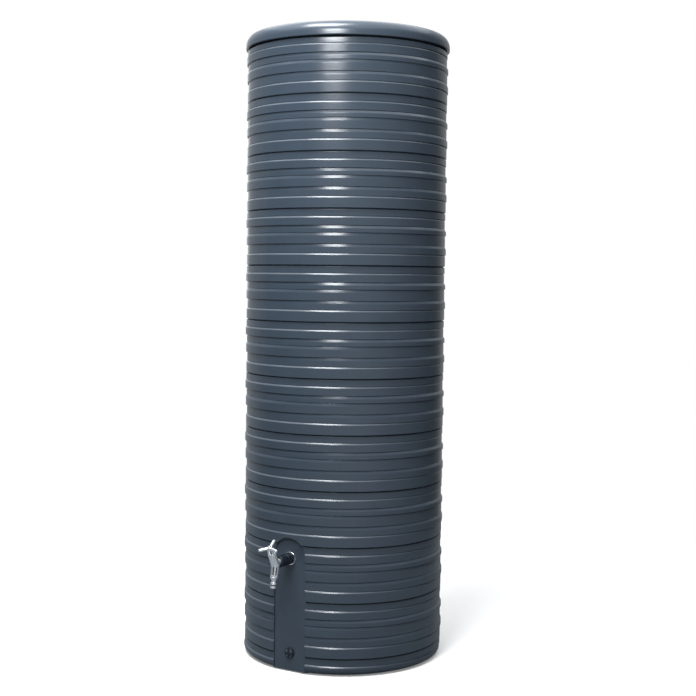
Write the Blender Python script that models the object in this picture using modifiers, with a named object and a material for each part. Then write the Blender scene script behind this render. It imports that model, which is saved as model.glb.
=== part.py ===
"""Round rainwater tank with a wall of staggered stone-like slabs, a lid, a tap and a drain plug.

Metres, +Z up. The tank's axis is Z, its base stands on Z = 0 and the tap panel faces -Y.
"""
import math
from collections import namedtuple

import bmesh
import bpy
from mathutils import Matrix, Vector

# Fits
CLEARANCE = 0.0003           # gap between two pieces that touch
THREAD_CLEARANCE = 0.0003    # gap on the radius between a screw and its hole

# Tank body
TANK_RADIUS = 0.300
BODY_TOP = 1.8125            # top edge of the slab wall, just under the lid
WALL = 0.009
FLOOR_WALL = 0.008
BASE_FILLET = 0.020
BASE_FILLET_STEPS = 3
INNER_CORNER = 0.003         # bevel between the floor and the wall inside; the corner is thin
TANK_SEGMENTS = 26

# Slabs of one course, from its top edge down. Each is shifted sideways, in a direction counted
# from +X, and named with the joint above it.
Slab = namedtuple("Slab", "height shift direction extra_radius joint")
SLABS = (
    Slab(0.0320, 0.0022, math.radians(-58.5), 0.0000, "step"),
    Slab(0.0240, 0.0022, math.radians(130.0), 0.0000, "step"),
    Slab(0.0272, 0.0022, math.radians(211.5), 0.0003, "step"),
    Slab(0.0205, 0.0017, math.radians(31.5), 0.0005, "groove"),
    Slab(0.0318, 0.0009, math.radians(211.5), 0.0003, "groove"),
    Slab(0.0253, 0.0024, math.radians(31.5), 0.0000, "groove"),
)
LOWEST_COURSE_TOP = 0.0863
STEP_HEIGHT = 0.0030
GROOVE_HEIGHT = 0.0046
GROOVE_DEPTH = 0.0026

# Neck under the lid
NECK_INSET = 0.014
NECK_HEIGHT = 0.0435
NECK_WALL = 0.008
SHOULDER_DROP = 0.004        # height of the sloping edge between the wall and the neck

# Lid
LID_OVERHANG = 0.006         # how far the lid stands out over the wall
LID_EDGE_GAP = 0.0065        # open line between the wall's top edge and the lid
LID_SEAT_GAP = 0.0012        # play round the neck
LID_EDGE_ROUND = 0.003
LID_BAND_STRAIGHT = 0.007
LID_BAND_ARC_WIDTH = 0.028
LID_BAND_ARC_HEIGHT = 0.033
LID_ARC_STEPS = 6
LID_CROWN = 0.010
LID_CROWN_STEPS = 2
LID_WALL = 0.0045

# Tap panel
PANEL_RECESS = 0.009         # how deep the panel's face lies behind the widest line of the wall
PANEL_HALF_WIDTH = 0.053
PANEL_WALL = 0.008
ARCH_RISE = 0.006            # how far the arch's centre lies over the tap's hole
PANEL_ARCH_STEPS = 10

# Wall connector, measured outwards from the panel's face
TAP_HEIGHT = 0.333
CONNECTOR_RADIUS = 0.0132
CONNECTOR_BORE = 0.0090
CONNECTOR_LENGTH = 0.0500
CONNECTOR_FLANGE_RADIUS = 0.021
CONNECTOR_FLANGE = 0.005
CONNECTOR_SEAL = 0.0025
RING_RADIUS = 0.0195
RING_THICKNESS = 0.004
RING_CHAMFER = 0.001
NUT_RADIUS = 0.0166
NUT_LENGTH = 0.0240
NUT_RIB = 0.0009
NUT_RIBS = 8
UNION_START = 0.0295
UNION_LENGTH = 0.0315
UNION_LIP = 0.0046
TAP_SEAL = 0.0017

# Tap
TAIL_NECK = 0.0026           # bare length of the tail between the union nut and the bend
BEND_DROP = 0.0060           # how far the bend lies under the inlet's axis
STEM_LEAN = math.radians(27.0)
SPOUT_LEAN = math.radians(10.0)
TAIL_RADIUS = 0.0100
TAIL_BORE = 0.0070
TAIL_FLANGE = 0.0033
CHAMBER_RADIUS = 0.0118
CHAMBER_BORE = 0.0078
CHAMBER_DEPTH = 0.0030       # how far the chamber's bore runs past the bend
CHAMBER_TOP = 0.0380
BEND_WALL = 0.0006           # how far the bend stands out over the chamber
SPOUT_TOP_RADIUS = 0.0122
SPOUT_END_RADIUS = 0.0112
SPOUT_LENGTH = 0.0343
SPOUT_BORE = 0.0055
SPOUT_THREAD = 0.0070
SPOUT_THREAD_DEPTH = 0.0111
FLUTES = 8
FLUTE_RADIUS = 0.0022
FLUTE_DEPTH = 0.0014
FLUTE_START = math.radians(33.0)
FLUTE_MARGIN = 0.0040
COLLAR_RADIUS = 0.0131          # raised band round the top of the spout
COLLAR_START = 0.0004
COLLAR_LENGTH = 0.0016

# Valve
PLUG_TOP = 0.0311
PLUG_BORE = 0.0045
PLUG_BORE_TOP = 0.0140
PORT_RADIUS = 0.0045
SPINDLE_RADIUS = 0.0040
SPINDLE_TOP = 0.0607
PORT_SEAL_LENGTH = 0.0035
O_RING_THICKNESS = 0.0020
BONNET_RADIUS = 0.0112
BONNET_FLANGE = 0.0047
BONNET_CHAMFER = 0.0009

# Handle: three arms, each with a leg that reaches down to the bonnet
HANDLE_ARMS = 3
HANDLE_TURN = math.radians(8.0)   # from the arm that points at the wall, as in the photo
HUB_RADIUS = 0.0068
HUB_BOTTOM = 0.0525
HUB_TOP = 0.0645
ARM_LENGTH = 0.0294
ARM_RISE = 0.0015
ARM_RADIUS = 0.0046
ARM_LEVEL = 0.0598
LEG_INNER = 0.0058
LEG_OUTER = 0.0102
LEG_WIDTH = 0.0062
SCREW_RADIUS = 0.0020
SCREW_DEPTH = 0.0120
SCREW_HEAD_RADIUS = 0.0040
SCREW_HEAD = 0.0024
SCREW_HEAD_CHAMFER = 0.0011

# Hose nipple, measured along the spout from its end
NIPPLE_BORE = 0.0045
NIPPLE_CONE = 0.0094
NIPPLE_NECK_RADIUS = 0.0062
NIPPLE_NECK = 0.0055
NIPPLE_COLLAR_RADIUS = 0.0083
NIPPLE_COLLAR = 0.0060
NIPPLE_GROOVE_RADIUS = 0.0060
NIPPLE_GROOVE = 0.0045
NIPPLE_END_RADIUS = 0.0083
NIPPLE_END = 0.0060
NIPPLE_CHAMFER = 0.0008
NIPPLE_O_RING = 0.0020
NIPPLE_WASHER = 0.0020

# Drain
DRAIN_HEIGHT = 0.0560
DRAIN_BOSS_RADIUS = 0.024
DRAIN_BOSS = 0.008
INSERT_RADIUS = 0.0148
INSERT_WAIST = 0.0012        # depth of the groove that anchors the insert in the wall
INSERT_BAND = 0.0040         # length of the full-width band at each end
INSERT_SLOPE = 0.0016
DRAIN_THREAD = 0.0115
DRAIN_PLUG_RADIUS = 0.0150
DRAIN_PLUG_FLANGE = 0.0035
DRAIN_PLUG_CHAMFER = 0.0011
DRAIN_PLUG_SHANK = 0.0120
DRAIN_PLUG_WALL = 0.0035
DRAIN_SEAL = 0.0015
CROSS_LENGTH = 0.0230
CROSS_WIDTH = 0.0048
CROSS_HEIGHT = 0.0030

# Facets of the fittings
FINE_SEGMENTS = 16
SMALL_SEGMENTS = 12
O_RING_SIDES = 6
AXIS_MARK = 0.02                # drawn size of an axis

# Worked out from the sizes above
COURSE_HEIGHT = sum(slab.height for slab in SLABS)
CORNER_FACTOR = 2.0 / (1.0 + math.cos(math.pi / TANK_SEGMENTS))   # from a radius to its corners
NECK_RADIUS = TANK_RADIUS - NECK_INSET
NECK_TOP = BODY_TOP + NECK_HEIGHT
LID_RADIUS = TANK_RADIUS + LID_OVERHANG
LID_BOTTOM = BODY_TOP + LID_EDGE_GAP
PANEL_DISTANCE = TANK_RADIUS - PANEL_RECESS   # from the tank's axis to the panel's face
CONNECTOR_FLANGE_TOP = -(PANEL_WALL + CLEARANCE + CONNECTOR_SEAL + CLEARANCE)
NUT_START = CLEARANCE + RING_THICKNESS + CLEARANCE
TAIL_START = CONNECTOR_LENGTH + CLEARANCE + TAP_SEAL + CLEARANCE
BEND_RADIUS = CHAMBER_RADIUS + BEND_WALL
TAP_REACH = UNION_START + UNION_LENGTH + TAIL_NECK + BEND_RADIUS   # from the panel to the bend
BEND_POINT = Vector((0.0, -(PANEL_DISTANCE + TAP_REACH), TAP_HEIGHT - BEND_DROP))
PORT_LEVEL = BEND_DROP / math.cos(STEM_LEAN)
PLUG_RADIUS = CHAMBER_BORE - CLEARANCE

PIECES = None
CUTTERS = None


def clear_scene():
    for obj in list(bpy.data.objects):
        bpy.data.objects.remove(obj, do_unlink=True)


def new_collection(name):
    collection = bpy.data.collections.new(name)
    bpy.context.scene.collection.children.link(collection)
    return collection


def new_material(name, colour, roughness, metallic=0.0):
    material = bpy.data.materials.new(name)
    material.use_nodes = True
    shader = material.node_tree.nodes["Principled BSDF"]
    shader.inputs["Base Color"].default_value = (*colour, 1.0)
    shader.inputs["Roughness"].default_value = roughness
    shader.inputs["Metallic"].default_value = metallic
    return material


def new_axis(name, location, tilt):
    """An empty whose local Z is turned from +Z towards -Y by the tilt."""
    axis = bpy.data.objects.new(name, None)
    axis.empty_display_size = AXIS_MARK
    axis.location = location
    axis.rotation_euler = (tilt, 0.0, 0.0)
    PIECES.objects.link(axis)
    return axis


def add_mesh(name, points, edges=(), faces=(), parent=None, material=None):
    """A new object; without a material it is a cutter or an operand."""
    mesh = bpy.data.meshes.new(name)
    mesh.from_pydata(points, edges, faces)
    mesh.update()
    obj = bpy.data.objects.new(name, mesh)
    obj.parent = parent
    if material is None:
        obj.hide_render = True
        obj.display_type = "WIRE"
        CUTTERS.objects.link(obj)
    else:
        mesh.materials.append(material)
        PIECES.objects.link(obj)
    return obj


def turned(name, profile, segments, parent=None, material=None, closed=True):
    """A profile of (radius, height) points, spun round local Z.

    It runs down the outer side. A closed profile is a ring; an open one ends on the axis.
    """
    points = [(radius, 0.0, height) for radius, height in profile]
    edges = [(index, index + 1) for index in range(len(points) - 1)]
    if closed:
        edges.append((len(points) - 1, 0))
    obj = add_mesh(name, points, edges=edges, parent=parent, material=material)
    screw = obj.modifiers.new("Spin", "SCREW")
    screw.axis = "Z"
    screw.angle = math.tau
    screw.steps = segments
    screw.render_steps = segments
    screw.use_merge_vertices = True
    screw.merge_threshold = 0.00001
    screw.use_smooth_shade = False
    return obj


def ring(name, inner, outer, bottom, top, segments, parent=None, material=None, chamfer=0.0):
    """A washer or bush between two radii and two heights."""
    profile = [(outer - chamfer, top)]
    if chamfer:
        profile += [(outer, top - chamfer), (outer, bottom + chamfer)]
        profile += [(outer - chamfer, bottom)]
    else:
        profile += [(outer, bottom)]
    profile += [(inner, bottom), (inner, top)]
    return turned(name, profile, segments, parent, material)


def rod(name, radius, bottom, top, segments, parent=None, material=None):
    profile = [(0.0, top), (radius, top), (radius, bottom), (0.0, bottom)]
    return turned(name, profile, segments, parent, material, closed=False)


def ball_profile(radius, steps):
    """Half a circle from pole to pole, for a turned ball."""
    profile = [(0.0, radius)]
    for step in range(1, steps):
        angle = math.pi * step / steps
        profile.append((radius * math.sin(angle), radius * math.cos(angle)))
    profile.append((0.0, -radius))
    return profile


def o_ring(name, inner, thickness, level, segments, parent, material):
    """A seal of round section."""
    half = thickness / 2.0
    profile = []
    for step in range(O_RING_SIDES):
        angle = math.tau * (step + 0.5) / O_RING_SIDES
        radius = inner + half + half * math.sin(angle)
        profile.append((radius, level + half * math.cos(angle)))
    return turned(name, profile, segments, parent, material)


def box(name, low, high, parent=None, material=None):
    x0, y0, z0 = low
    x1, y1, z1 = high
    points = [(x, y, z) for x in (x0, x1) for y in (y0, y1) for z in (z0, z1)]
    faces = [(0, 1, 3, 2), (4, 6, 7, 5), (0, 4, 5, 1), (2, 3, 7, 6), (0, 2, 6, 4), (1, 5, 7, 3)]
    return add_mesh(name, points, faces=faces, parent=parent, material=material)


def curve_to_operand(curve, parent):
    """The curve as a closed mesh with welded caps, ready for a Boolean."""
    source = bpy.data.objects.new(curve.name + "_path", curve)
    CUTTERS.objects.link(source)
    source.parent = parent
    bpy.context.view_layer.update()
    evaluated = source.evaluated_get(bpy.context.evaluated_depsgraph_get())
    mesh = bpy.data.meshes.new_from_object(evaluated)
    work = bmesh.new()
    work.from_mesh(mesh)
    bmesh.ops.remove_doubles(work, verts=work.verts, dist=0.00001)
    work.to_mesh(mesh)
    work.free()
    operand = bpy.data.objects.new(curve.name, mesh)
    operand.parent = parent
    operand.hide_render = True
    operand.display_type = "WIRE"
    CUTTERS.objects.link(operand)
    bpy.data.objects.remove(source, do_unlink=True)
    return operand


def combine(target, operand, operation):
    boolean = target.modifiers.new(f"{operation.title()} {operand.name}", "BOOLEAN")
    boolean.object = operand
    boolean.operation = operation
    boolean.solver = "EXACT"


def cut(target, *cutters):
    for cutter in cutters:
        combine(target, cutter, "DIFFERENCE")


def join(target, *operands):
    for operand in operands:
        combine(target, operand, "UNION")


def shade_round(obj):
    """Smooth shading with a crease at every sharp edge of the mesh as modelled."""
    obj.data.shade_smooth()
    obj.data.set_sharp_from_angle(angle=math.radians(35.0))


def circle_section(radius, shift, level):
    """Corners of a round section; its sides lie as far inside the circle as its corners outside."""
    corner_radius = radius * CORNER_FACTOR
    section = []
    for index in range(TANK_SEGMENTS):
        angle = math.tau * index / TANK_SEGMENTS
        x = shift[0] + corner_radius * math.cos(angle)
        y = shift[1] + corner_radius * math.sin(angle)
        section.append((x, y, level))
    return section


def loft(name, sections, parent=None, material=None):
    """A closed body through sections of equal count, given from the top down."""
    count = len(sections[0])
    points = [point for section in sections for point in section]
    faces = [tuple(range(count))]
    for level in range(len(sections) - 1):
        for index in range(count):
            after = (index + 1) % count
            above = level * count
            below = above + count
            faces.append((above + after, above + index, below + index, below + after))
    last = (len(sections) - 1) * count
    faces.append(tuple(last + index for index in reversed(range(count))))
    return add_mesh(name, points, faces=faces, parent=parent, material=material)


def slab_shift(slab):
    return (slab.shift * math.cos(slab.direction), slab.shift * math.sin(slab.direction))


def slab_joints():
    """Every joint between two slabs, from the top down: height, slab above, slab below."""
    courses = math.ceil((BODY_TOP - LOWEST_COURSE_TOP) / COURSE_HEIGHT) + 1
    joints = []
    for course in reversed(range(courses)):
        level = LOWEST_COURSE_TOP + course * COURSE_HEIGHT
        for index, slab in enumerate(SLABS):
            joints.append((level, SLABS[index - 1], slab))
            level -= slab.height
    return joints


def slab_wall_sections():
    """Round sections of the slab wall, from its top edge down to the base fillet."""
    joints = slab_joints()
    margin = GROOVE_HEIGHT
    visible = [joint for joint in joints if BASE_FILLET + margin < joint[0] < BODY_TOP - margin]
    top_slab = visible[0][1]
    base_slab = visible[-1][2]

    def section(slab, level, depth=0.0, shift=None):
        place = slab_shift(slab) if shift is None else shift
        return circle_section(TANK_RADIUS + slab.extra_radius - depth, place, level)

    sections = [section(top_slab, BODY_TOP)]
    for level, above, below in visible:
        height = GROOVE_HEIGHT if below.joint == "groove" else STEP_HEIGHT
        sections.append(section(above, level + height / 2.0))
        if below.joint == "groove":
            first, second = slab_shift(above), slab_shift(below)
            middle = ((first[0] + second[0]) / 2.0, (first[1] + second[1]) / 2.0)
            sections.append(section(below, level, GROOVE_DEPTH, middle))
        sections.append(section(below, level - height / 2.0))
    for step in range(BASE_FILLET_STEPS + 1):
        angle = math.radians(90.0) * step / BASE_FILLET_STEPS
        inset = BASE_FILLET * (1.0 - math.cos(angle))
        level = BASE_FILLET * (1.0 - math.sin(angle))
        sections.append(section(base_slab, level, inset))
    return sections


def panel_block(name, half_width, face_distance):
    """An arched block that stands against the wall, from below the base up to the arch."""
    far = TANK_RADIUS + half_width
    outline = [(half_width, -BASE_FILLET)]
    for step in range(PANEL_ARCH_STEPS + 1):
        angle = math.pi * step / PANEL_ARCH_STEPS
        level = TAP_HEIGHT + ARCH_RISE + half_width * math.sin(angle)
        outline.append((half_width * math.cos(angle), level))
    outline.append((-half_width, -BASE_FILLET))
    front = [(x, -far, z) for x, z in outline]
    back = [(x, -face_distance, z) for x, z in outline]
    return loft(name, [front, back])


def build_tank_body(material):
    neck_foot = BODY_TOP + SHOULDER_DROP
    sections = [
        circle_section(NECK_RADIUS, (0.0, 0.0), NECK_TOP),
        circle_section(NECK_RADIUS, (0.0, 0.0), neck_foot),
    ]
    body = loft("tank_body", sections + slab_wall_sections(), material=material)

    inner = (TANK_RADIUS - WALL) * CORNER_FACTOR
    neck_inner = (NECK_RADIUS - NECK_WALL) * CORNER_FACTOR
    profile = [
        (0.0, NECK_TOP + WALL),
        (neck_inner, NECK_TOP + WALL),
        (neck_inner, BODY_TOP),
        (inner, BODY_TOP - (inner - neck_inner)),
        (inner, FLOOR_WALL + INNER_CORNER),
        (inner - INNER_CORNER, FLOOR_WALL),
        (0.0, FLOOR_WALL),
    ]
    cavity = turned("cavity", profile, TANK_SEGMENTS, closed=False)
    inner_distance = PANEL_DISTANCE - PANEL_WALL
    cut(cavity, panel_block("panel_back", PANEL_HALF_WIDTH + PANEL_WALL, inner_distance))
    boss_end = -(PANEL_WALL + DRAIN_BOSS)
    boss = rod("drain_boss", DRAIN_BOSS_RADIUS, boss_end, PANEL_WALL, FINE_SEGMENTS, DRAIN_AXIS)
    cut(cavity, boss)

    cut(body, panel_block("panel_recess", PANEL_HALF_WIDTH, PANEL_DISTANCE), cavity)
    hole_radius = CONNECTOR_RADIUS + CLEARANCE
    tap_hole = rod("tap_hole", hole_radius, -2.0 * WALL, WALL, FINE_SEGMENTS, INLET_AXIS)
    insert_hole_radius = INSERT_RADIUS + CLEARANCE
    insert_hole = rod(
        "insert_hole", insert_hole_radius, boss_end - WALL, WALL, FINE_SEGMENTS, DRAIN_AXIS
    )
    cut(body, tap_hole, insert_hole)
    shade_round(body)


def build_lid(material):
    band_top = LID_BOTTOM + LID_EDGE_ROUND + LID_BAND_STRAIGHT
    rim_radius = LID_RADIUS - LID_BAND_ARC_WIDTH
    crown_edge = band_top + LID_BAND_ARC_HEIGHT
    crown = []
    for step in range(LID_CROWN_STEPS):
        share = step / LID_CROWN_STEPS
        crown.append((rim_radius * share, crown_edge + LID_CROWN * (1.0 - share ** 2)))
    outside = list(crown)
    for step in range(LID_ARC_STEPS + 1):
        angle = math.radians(90.0) * (1.0 - step / LID_ARC_STEPS)
        radius = rim_radius + LID_BAND_ARC_WIDTH * math.cos(angle)
        outside.append((radius, band_top + LID_BAND_ARC_HEIGHT * math.sin(angle)))
    outside.append((LID_RADIUS, LID_BOTTOM + LID_EDGE_ROUND))
    outside.append((LID_RADIUS - LID_EDGE_ROUND, LID_BOTTOM))
    seat = NECK_TOP + CLEARANCE
    skirt = LID_RADIUS - LID_EDGE_ROUND - LID_WALL
    inside = [
        (skirt, LID_BOTTOM),
        (skirt, band_top),
        (NECK_RADIUS + LID_SEAT_GAP, seat),
        (NECK_RADIUS - NECK_WALL, seat),
    ]
    inside += [(radius, height - LID_WALL) for radius, height in reversed(crown)]
    profile = [(radius * CORNER_FACTOR, height) for radius, height in outside + inside]
    lid = turned("lid", profile, TANK_SEGMENTS, material=material, closed=False)
    lid.modifiers["Spin"].use_smooth_shade = True
    return lid


def ribbed_nut(name, start, length, lip, material):
    """A round nut with grip ribs; a lip narrows its outer end to hold the tap's tail."""
    bore = CONNECTOR_RADIUS + THREAD_CLEARANCE
    end = start + length
    profile = [(NUT_RADIUS - NUT_RIB, end), (NUT_RADIUS, end - NUT_RIB), (NUT_RADIUS, start)]
    profile.append((bore, start))
    if lip:
        lip_bore = TAIL_RADIUS + CLEARANCE
        profile += [(bore, end - lip), (lip_bore, end - lip), (lip_bore, end)]
    else:
        profile.append((bore, end))
    nut = turned(name, profile, FINE_SEGMENTS, INLET_AXIS, material)
    for index in range(NUT_RIBS):
        angle = math.tau * index / NUT_RIBS
        low = (NUT_RADIUS - 2.0 * NUT_RIB, -NUT_RIB, start + NUT_RIB)
        high = (NUT_RADIUS + NUT_RIB, NUT_RIB, end - 2.0 * NUT_RIB)
        rib = box(f"{name}_rib_{index:02d}", low, high, INLET_AXIS)
        rib.rotation_euler = (0.0, 0.0, angle)
        join(nut, rib)


def build_connector(plastic, rubber, chrome):
    flange_bottom = CONNECTOR_FLANGE_TOP - CONNECTOR_FLANGE
    profile = [
        (CONNECTOR_RADIUS, CONNECTOR_LENGTH),
        (CONNECTOR_RADIUS, CONNECTOR_FLANGE_TOP),
        (CONNECTOR_FLANGE_RADIUS, CONNECTOR_FLANGE_TOP),
        (CONNECTOR_FLANGE_RADIUS, flange_bottom),
        (CONNECTOR_BORE, flange_bottom),
        (CONNECTOR_BORE, CONNECTOR_LENGTH),
    ]
    turned("tank_connector", profile, FINE_SEGMENTS, INLET_AXIS, plastic)

    bore = CONNECTOR_RADIUS + CLEARANCE
    seal_top = -(PANEL_WALL + CLEARANCE)
    seal_bottom = seal_top - CONNECTOR_SEAL
    seal_radius = CONNECTOR_FLANGE_RADIUS - CLEARANCE
    ring("connector_seal", bore, seal_radius, seal_bottom, seal_top, FINE_SEGMENTS, INLET_AXIS, rubber)

    ring_top = CLEARANCE + RING_THICKNESS
    ring(
        "connector_ring", bore, RING_RADIUS, CLEARANCE, ring_top,
        FINE_SEGMENTS, INLET_AXIS, chrome, RING_CHAMFER,
    )
    ribbed_nut("connector_nut", NUT_START, NUT_LENGTH, 0.0, plastic)
    ribbed_nut("union_nut", UNION_START, UNION_LENGTH, UNION_LIP, plastic)
    washer_bottom = CONNECTOR_LENGTH + CLEARANCE
    ring(
        "tap_seal", CONNECTOR_BORE, CONNECTOR_RADIUS - CLEARANCE, washer_bottom,
        washer_bottom + TAP_SEAL, FINE_SEGMENTS, INLET_AXIS, rubber,
    )


def build_tap_body(silver):
    body = rod(
        "tap_body", CHAMBER_RADIUS, -CHAMBER_DEPTH, CHAMBER_TOP, FINE_SEGMENTS, STEM_AXIS, silver
    )

    collar_end = COLLAR_START + COLLAR_LENGTH
    cone = [
        (0.0, SPOUT_LENGTH),
        (SPOUT_END_RADIUS, SPOUT_LENGTH),
        (SPOUT_TOP_RADIUS, collar_end),
        (COLLAR_RADIUS, collar_end),
        (COLLAR_RADIUS, COLLAR_START),
        (SPOUT_TOP_RADIUS, COLLAR_START),
        (SPOUT_TOP_RADIUS, -CHAMBER_DEPTH),
        (0.0, -CHAMBER_DEPTH),
    ]
    spout = turned("spout_outside", cone, FINE_SEGMENTS, SPOUT_AXIS, closed=False)
    bend = turned("bend_outside", ball_profile(BEND_RADIUS, 8), FINE_SEGMENTS, SPOUT_AXIS, closed=False)
    bend.rotation_euler = (0.0, 0.0, math.pi / FINE_SEGMENTS)
    tail_flange_end = TAIL_START + TAIL_FLANGE
    tail_end = TAP_REACH - CHAMBER_DEPTH
    tail_profile = [
        (0.0, tail_end),
        (TAIL_RADIUS, tail_end),
        (TAIL_RADIUS, tail_flange_end),
        (CONNECTOR_RADIUS - CLEARANCE, tail_flange_end),
        (CONNECTOR_RADIUS - CLEARANCE, TAIL_START),
        (0.0, TAIL_START),
    ]
    tail = turned("tail_outside", tail_profile, FINE_SEGMENTS, INLET_AXIS, closed=False)
    join(body, bend, spout, tail)

    chamber_end = CHAMBER_TOP + CHAMBER_DEPTH
    chamber = rod("chamber_bore", CHAMBER_BORE, -CHAMBER_DEPTH, chamber_end, FINE_SEGMENTS, STEM_AXIS)
    thread_start = SPOUT_LENGTH - SPOUT_THREAD_DEPTH
    spout_end = SPOUT_LENGTH + CHAMBER_DEPTH
    waterway_profile = [
        (0.0, spout_end),
        (SPOUT_THREAD, spout_end),
        (SPOUT_THREAD, thread_start),
        (SPOUT_BORE, thread_start),
        (SPOUT_BORE, -CHAMBER_DEPTH),
        (0.0, -CHAMBER_DEPTH),
    ]
    waterway = turned("spout_bore", waterway_profile, FINE_SEGMENTS, SPOUT_AXIS, closed=False)
    tail_bore = rod("tail_bore", TAIL_BORE, TAIL_START - WALL, TAP_REACH, FINE_SEGMENTS, INLET_AXIS)
    cut(body, chamber, waterway, tail_bore)

    slope = (SPOUT_TOP_RADIUS - SPOUT_END_RADIUS) / (SPOUT_LENGTH - collar_end)
    flute_tilt = math.atan(slope)
    for index in range(FLUTES):
        angle = FLUTE_START + math.tau * index / FLUTES
        half_length = SPOUT_LENGTH / 2.0 - FLUTE_MARGIN
        flute = rod(f"flute_{index}", FLUTE_RADIUS, -half_length, half_length, 8, SPOUT_AXIS)
        distance = (SPOUT_TOP_RADIUS + SPOUT_END_RADIUS) / 2.0 + FLUTE_RADIUS - FLUTE_DEPTH
        turn = Matrix.Rotation(angle - math.pi / 2.0, 4, "Z")
        lean = Matrix.Rotation(-flute_tilt, 4, "Y")
        place = Matrix.Translation((distance, 0.0, SPOUT_LENGTH / 2.0))
        flute.matrix_basis = turn @ place @ lean
        cut(body, flute)
    shade_round(body)


def build_valve(silver, plastic, rubber):
    """The plug stands closed: its side port faces +X, a quarter turn away from the inlet."""
    profile = [
        (0.0, SPINDLE_TOP),
        (SPINDLE_RADIUS, SPINDLE_TOP),
        (SPINDLE_RADIUS, PLUG_TOP),
        (PLUG_RADIUS, PLUG_TOP),
        (PLUG_RADIUS, 0.0),
        (PLUG_BORE, 0.0),
        (PLUG_BORE, PLUG_BORE_TOP),
        (0.0, PLUG_BORE_TOP),
    ]
    plug = turned("valve_plug", profile, FINE_SEGMENTS, STEM_AXIS, plastic, closed=False)
    port = rod("plug_port", PORT_RADIUS, 0.0, 2.0 * PLUG_RADIUS, SMALL_SEGMENTS, STEM_AXIS)
    port.location = (0.0, 0.0, PORT_LEVEL)
    port.rotation_euler = (0.0, math.pi / 2.0, 0.0)
    screw_hole_radius = SCREW_RADIUS + THREAD_CLEARANCE
    screw_hole_bottom = SPINDLE_TOP - SCREW_DEPTH - CLEARANCE
    screw_hole = rod(
        "spindle_hole", screw_hole_radius, screw_hole_bottom, SPINDLE_TOP + SCREW_HEAD,
        SMALL_SEGMENTS, STEM_AXIS,
    )
    cut(plug, port, screw_hole)

    seal_start = TAP_REACH - PLUG_RADIUS - PORT_SEAL_LENGTH
    seal = ring(
        "port_seal", PORT_RADIUS, TAIL_BORE - CLEARANCE, seal_start, TAP_REACH,
        SMALL_SEGMENTS, INLET_AXIS, rubber,
    )
    plug_room = rod(
        "plug_room", CHAMBER_BORE, -CHAMBER_TOP, CHAMBER_TOP, FINE_SEGMENTS, STEM_AXIS
    )
    cut(seal, plug_room)

    ring_level = PLUG_TOP + CLEARANCE + O_RING_THICKNESS / 2.0
    ring_inner = SPINDLE_RADIUS + CLEARANCE
    o_ring("plug_o_ring", ring_inner, O_RING_THICKNESS, ring_level, FINE_SEGMENTS, STEM_AXIS, rubber)

    pocket_radius = ring_inner + O_RING_THICKNESS + CLEARANCE
    pocket_top = PLUG_TOP + O_RING_THICKNESS + 2.0 * CLEARANCE
    flange_bottom = CHAMBER_TOP + CLEARANCE
    flange_top = flange_bottom + BONNET_FLANGE
    bonnet_profile = [
        (BONNET_RADIUS - BONNET_CHAMFER, flange_top),
        (BONNET_RADIUS, flange_top - BONNET_CHAMFER),
        (BONNET_RADIUS, flange_bottom),
        (PLUG_RADIUS, flange_bottom),
        (PLUG_RADIUS, PLUG_TOP + CLEARANCE),
        (pocket_radius, PLUG_TOP + CLEARANCE),
        (pocket_radius, pocket_top),
        (ring_inner, pocket_top),
        (ring_inner, flange_top),
    ]
    turned("bonnet_nut", bonnet_profile, FINE_SEGMENTS, STEM_AXIS, silver)
    return flange_top


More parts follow.
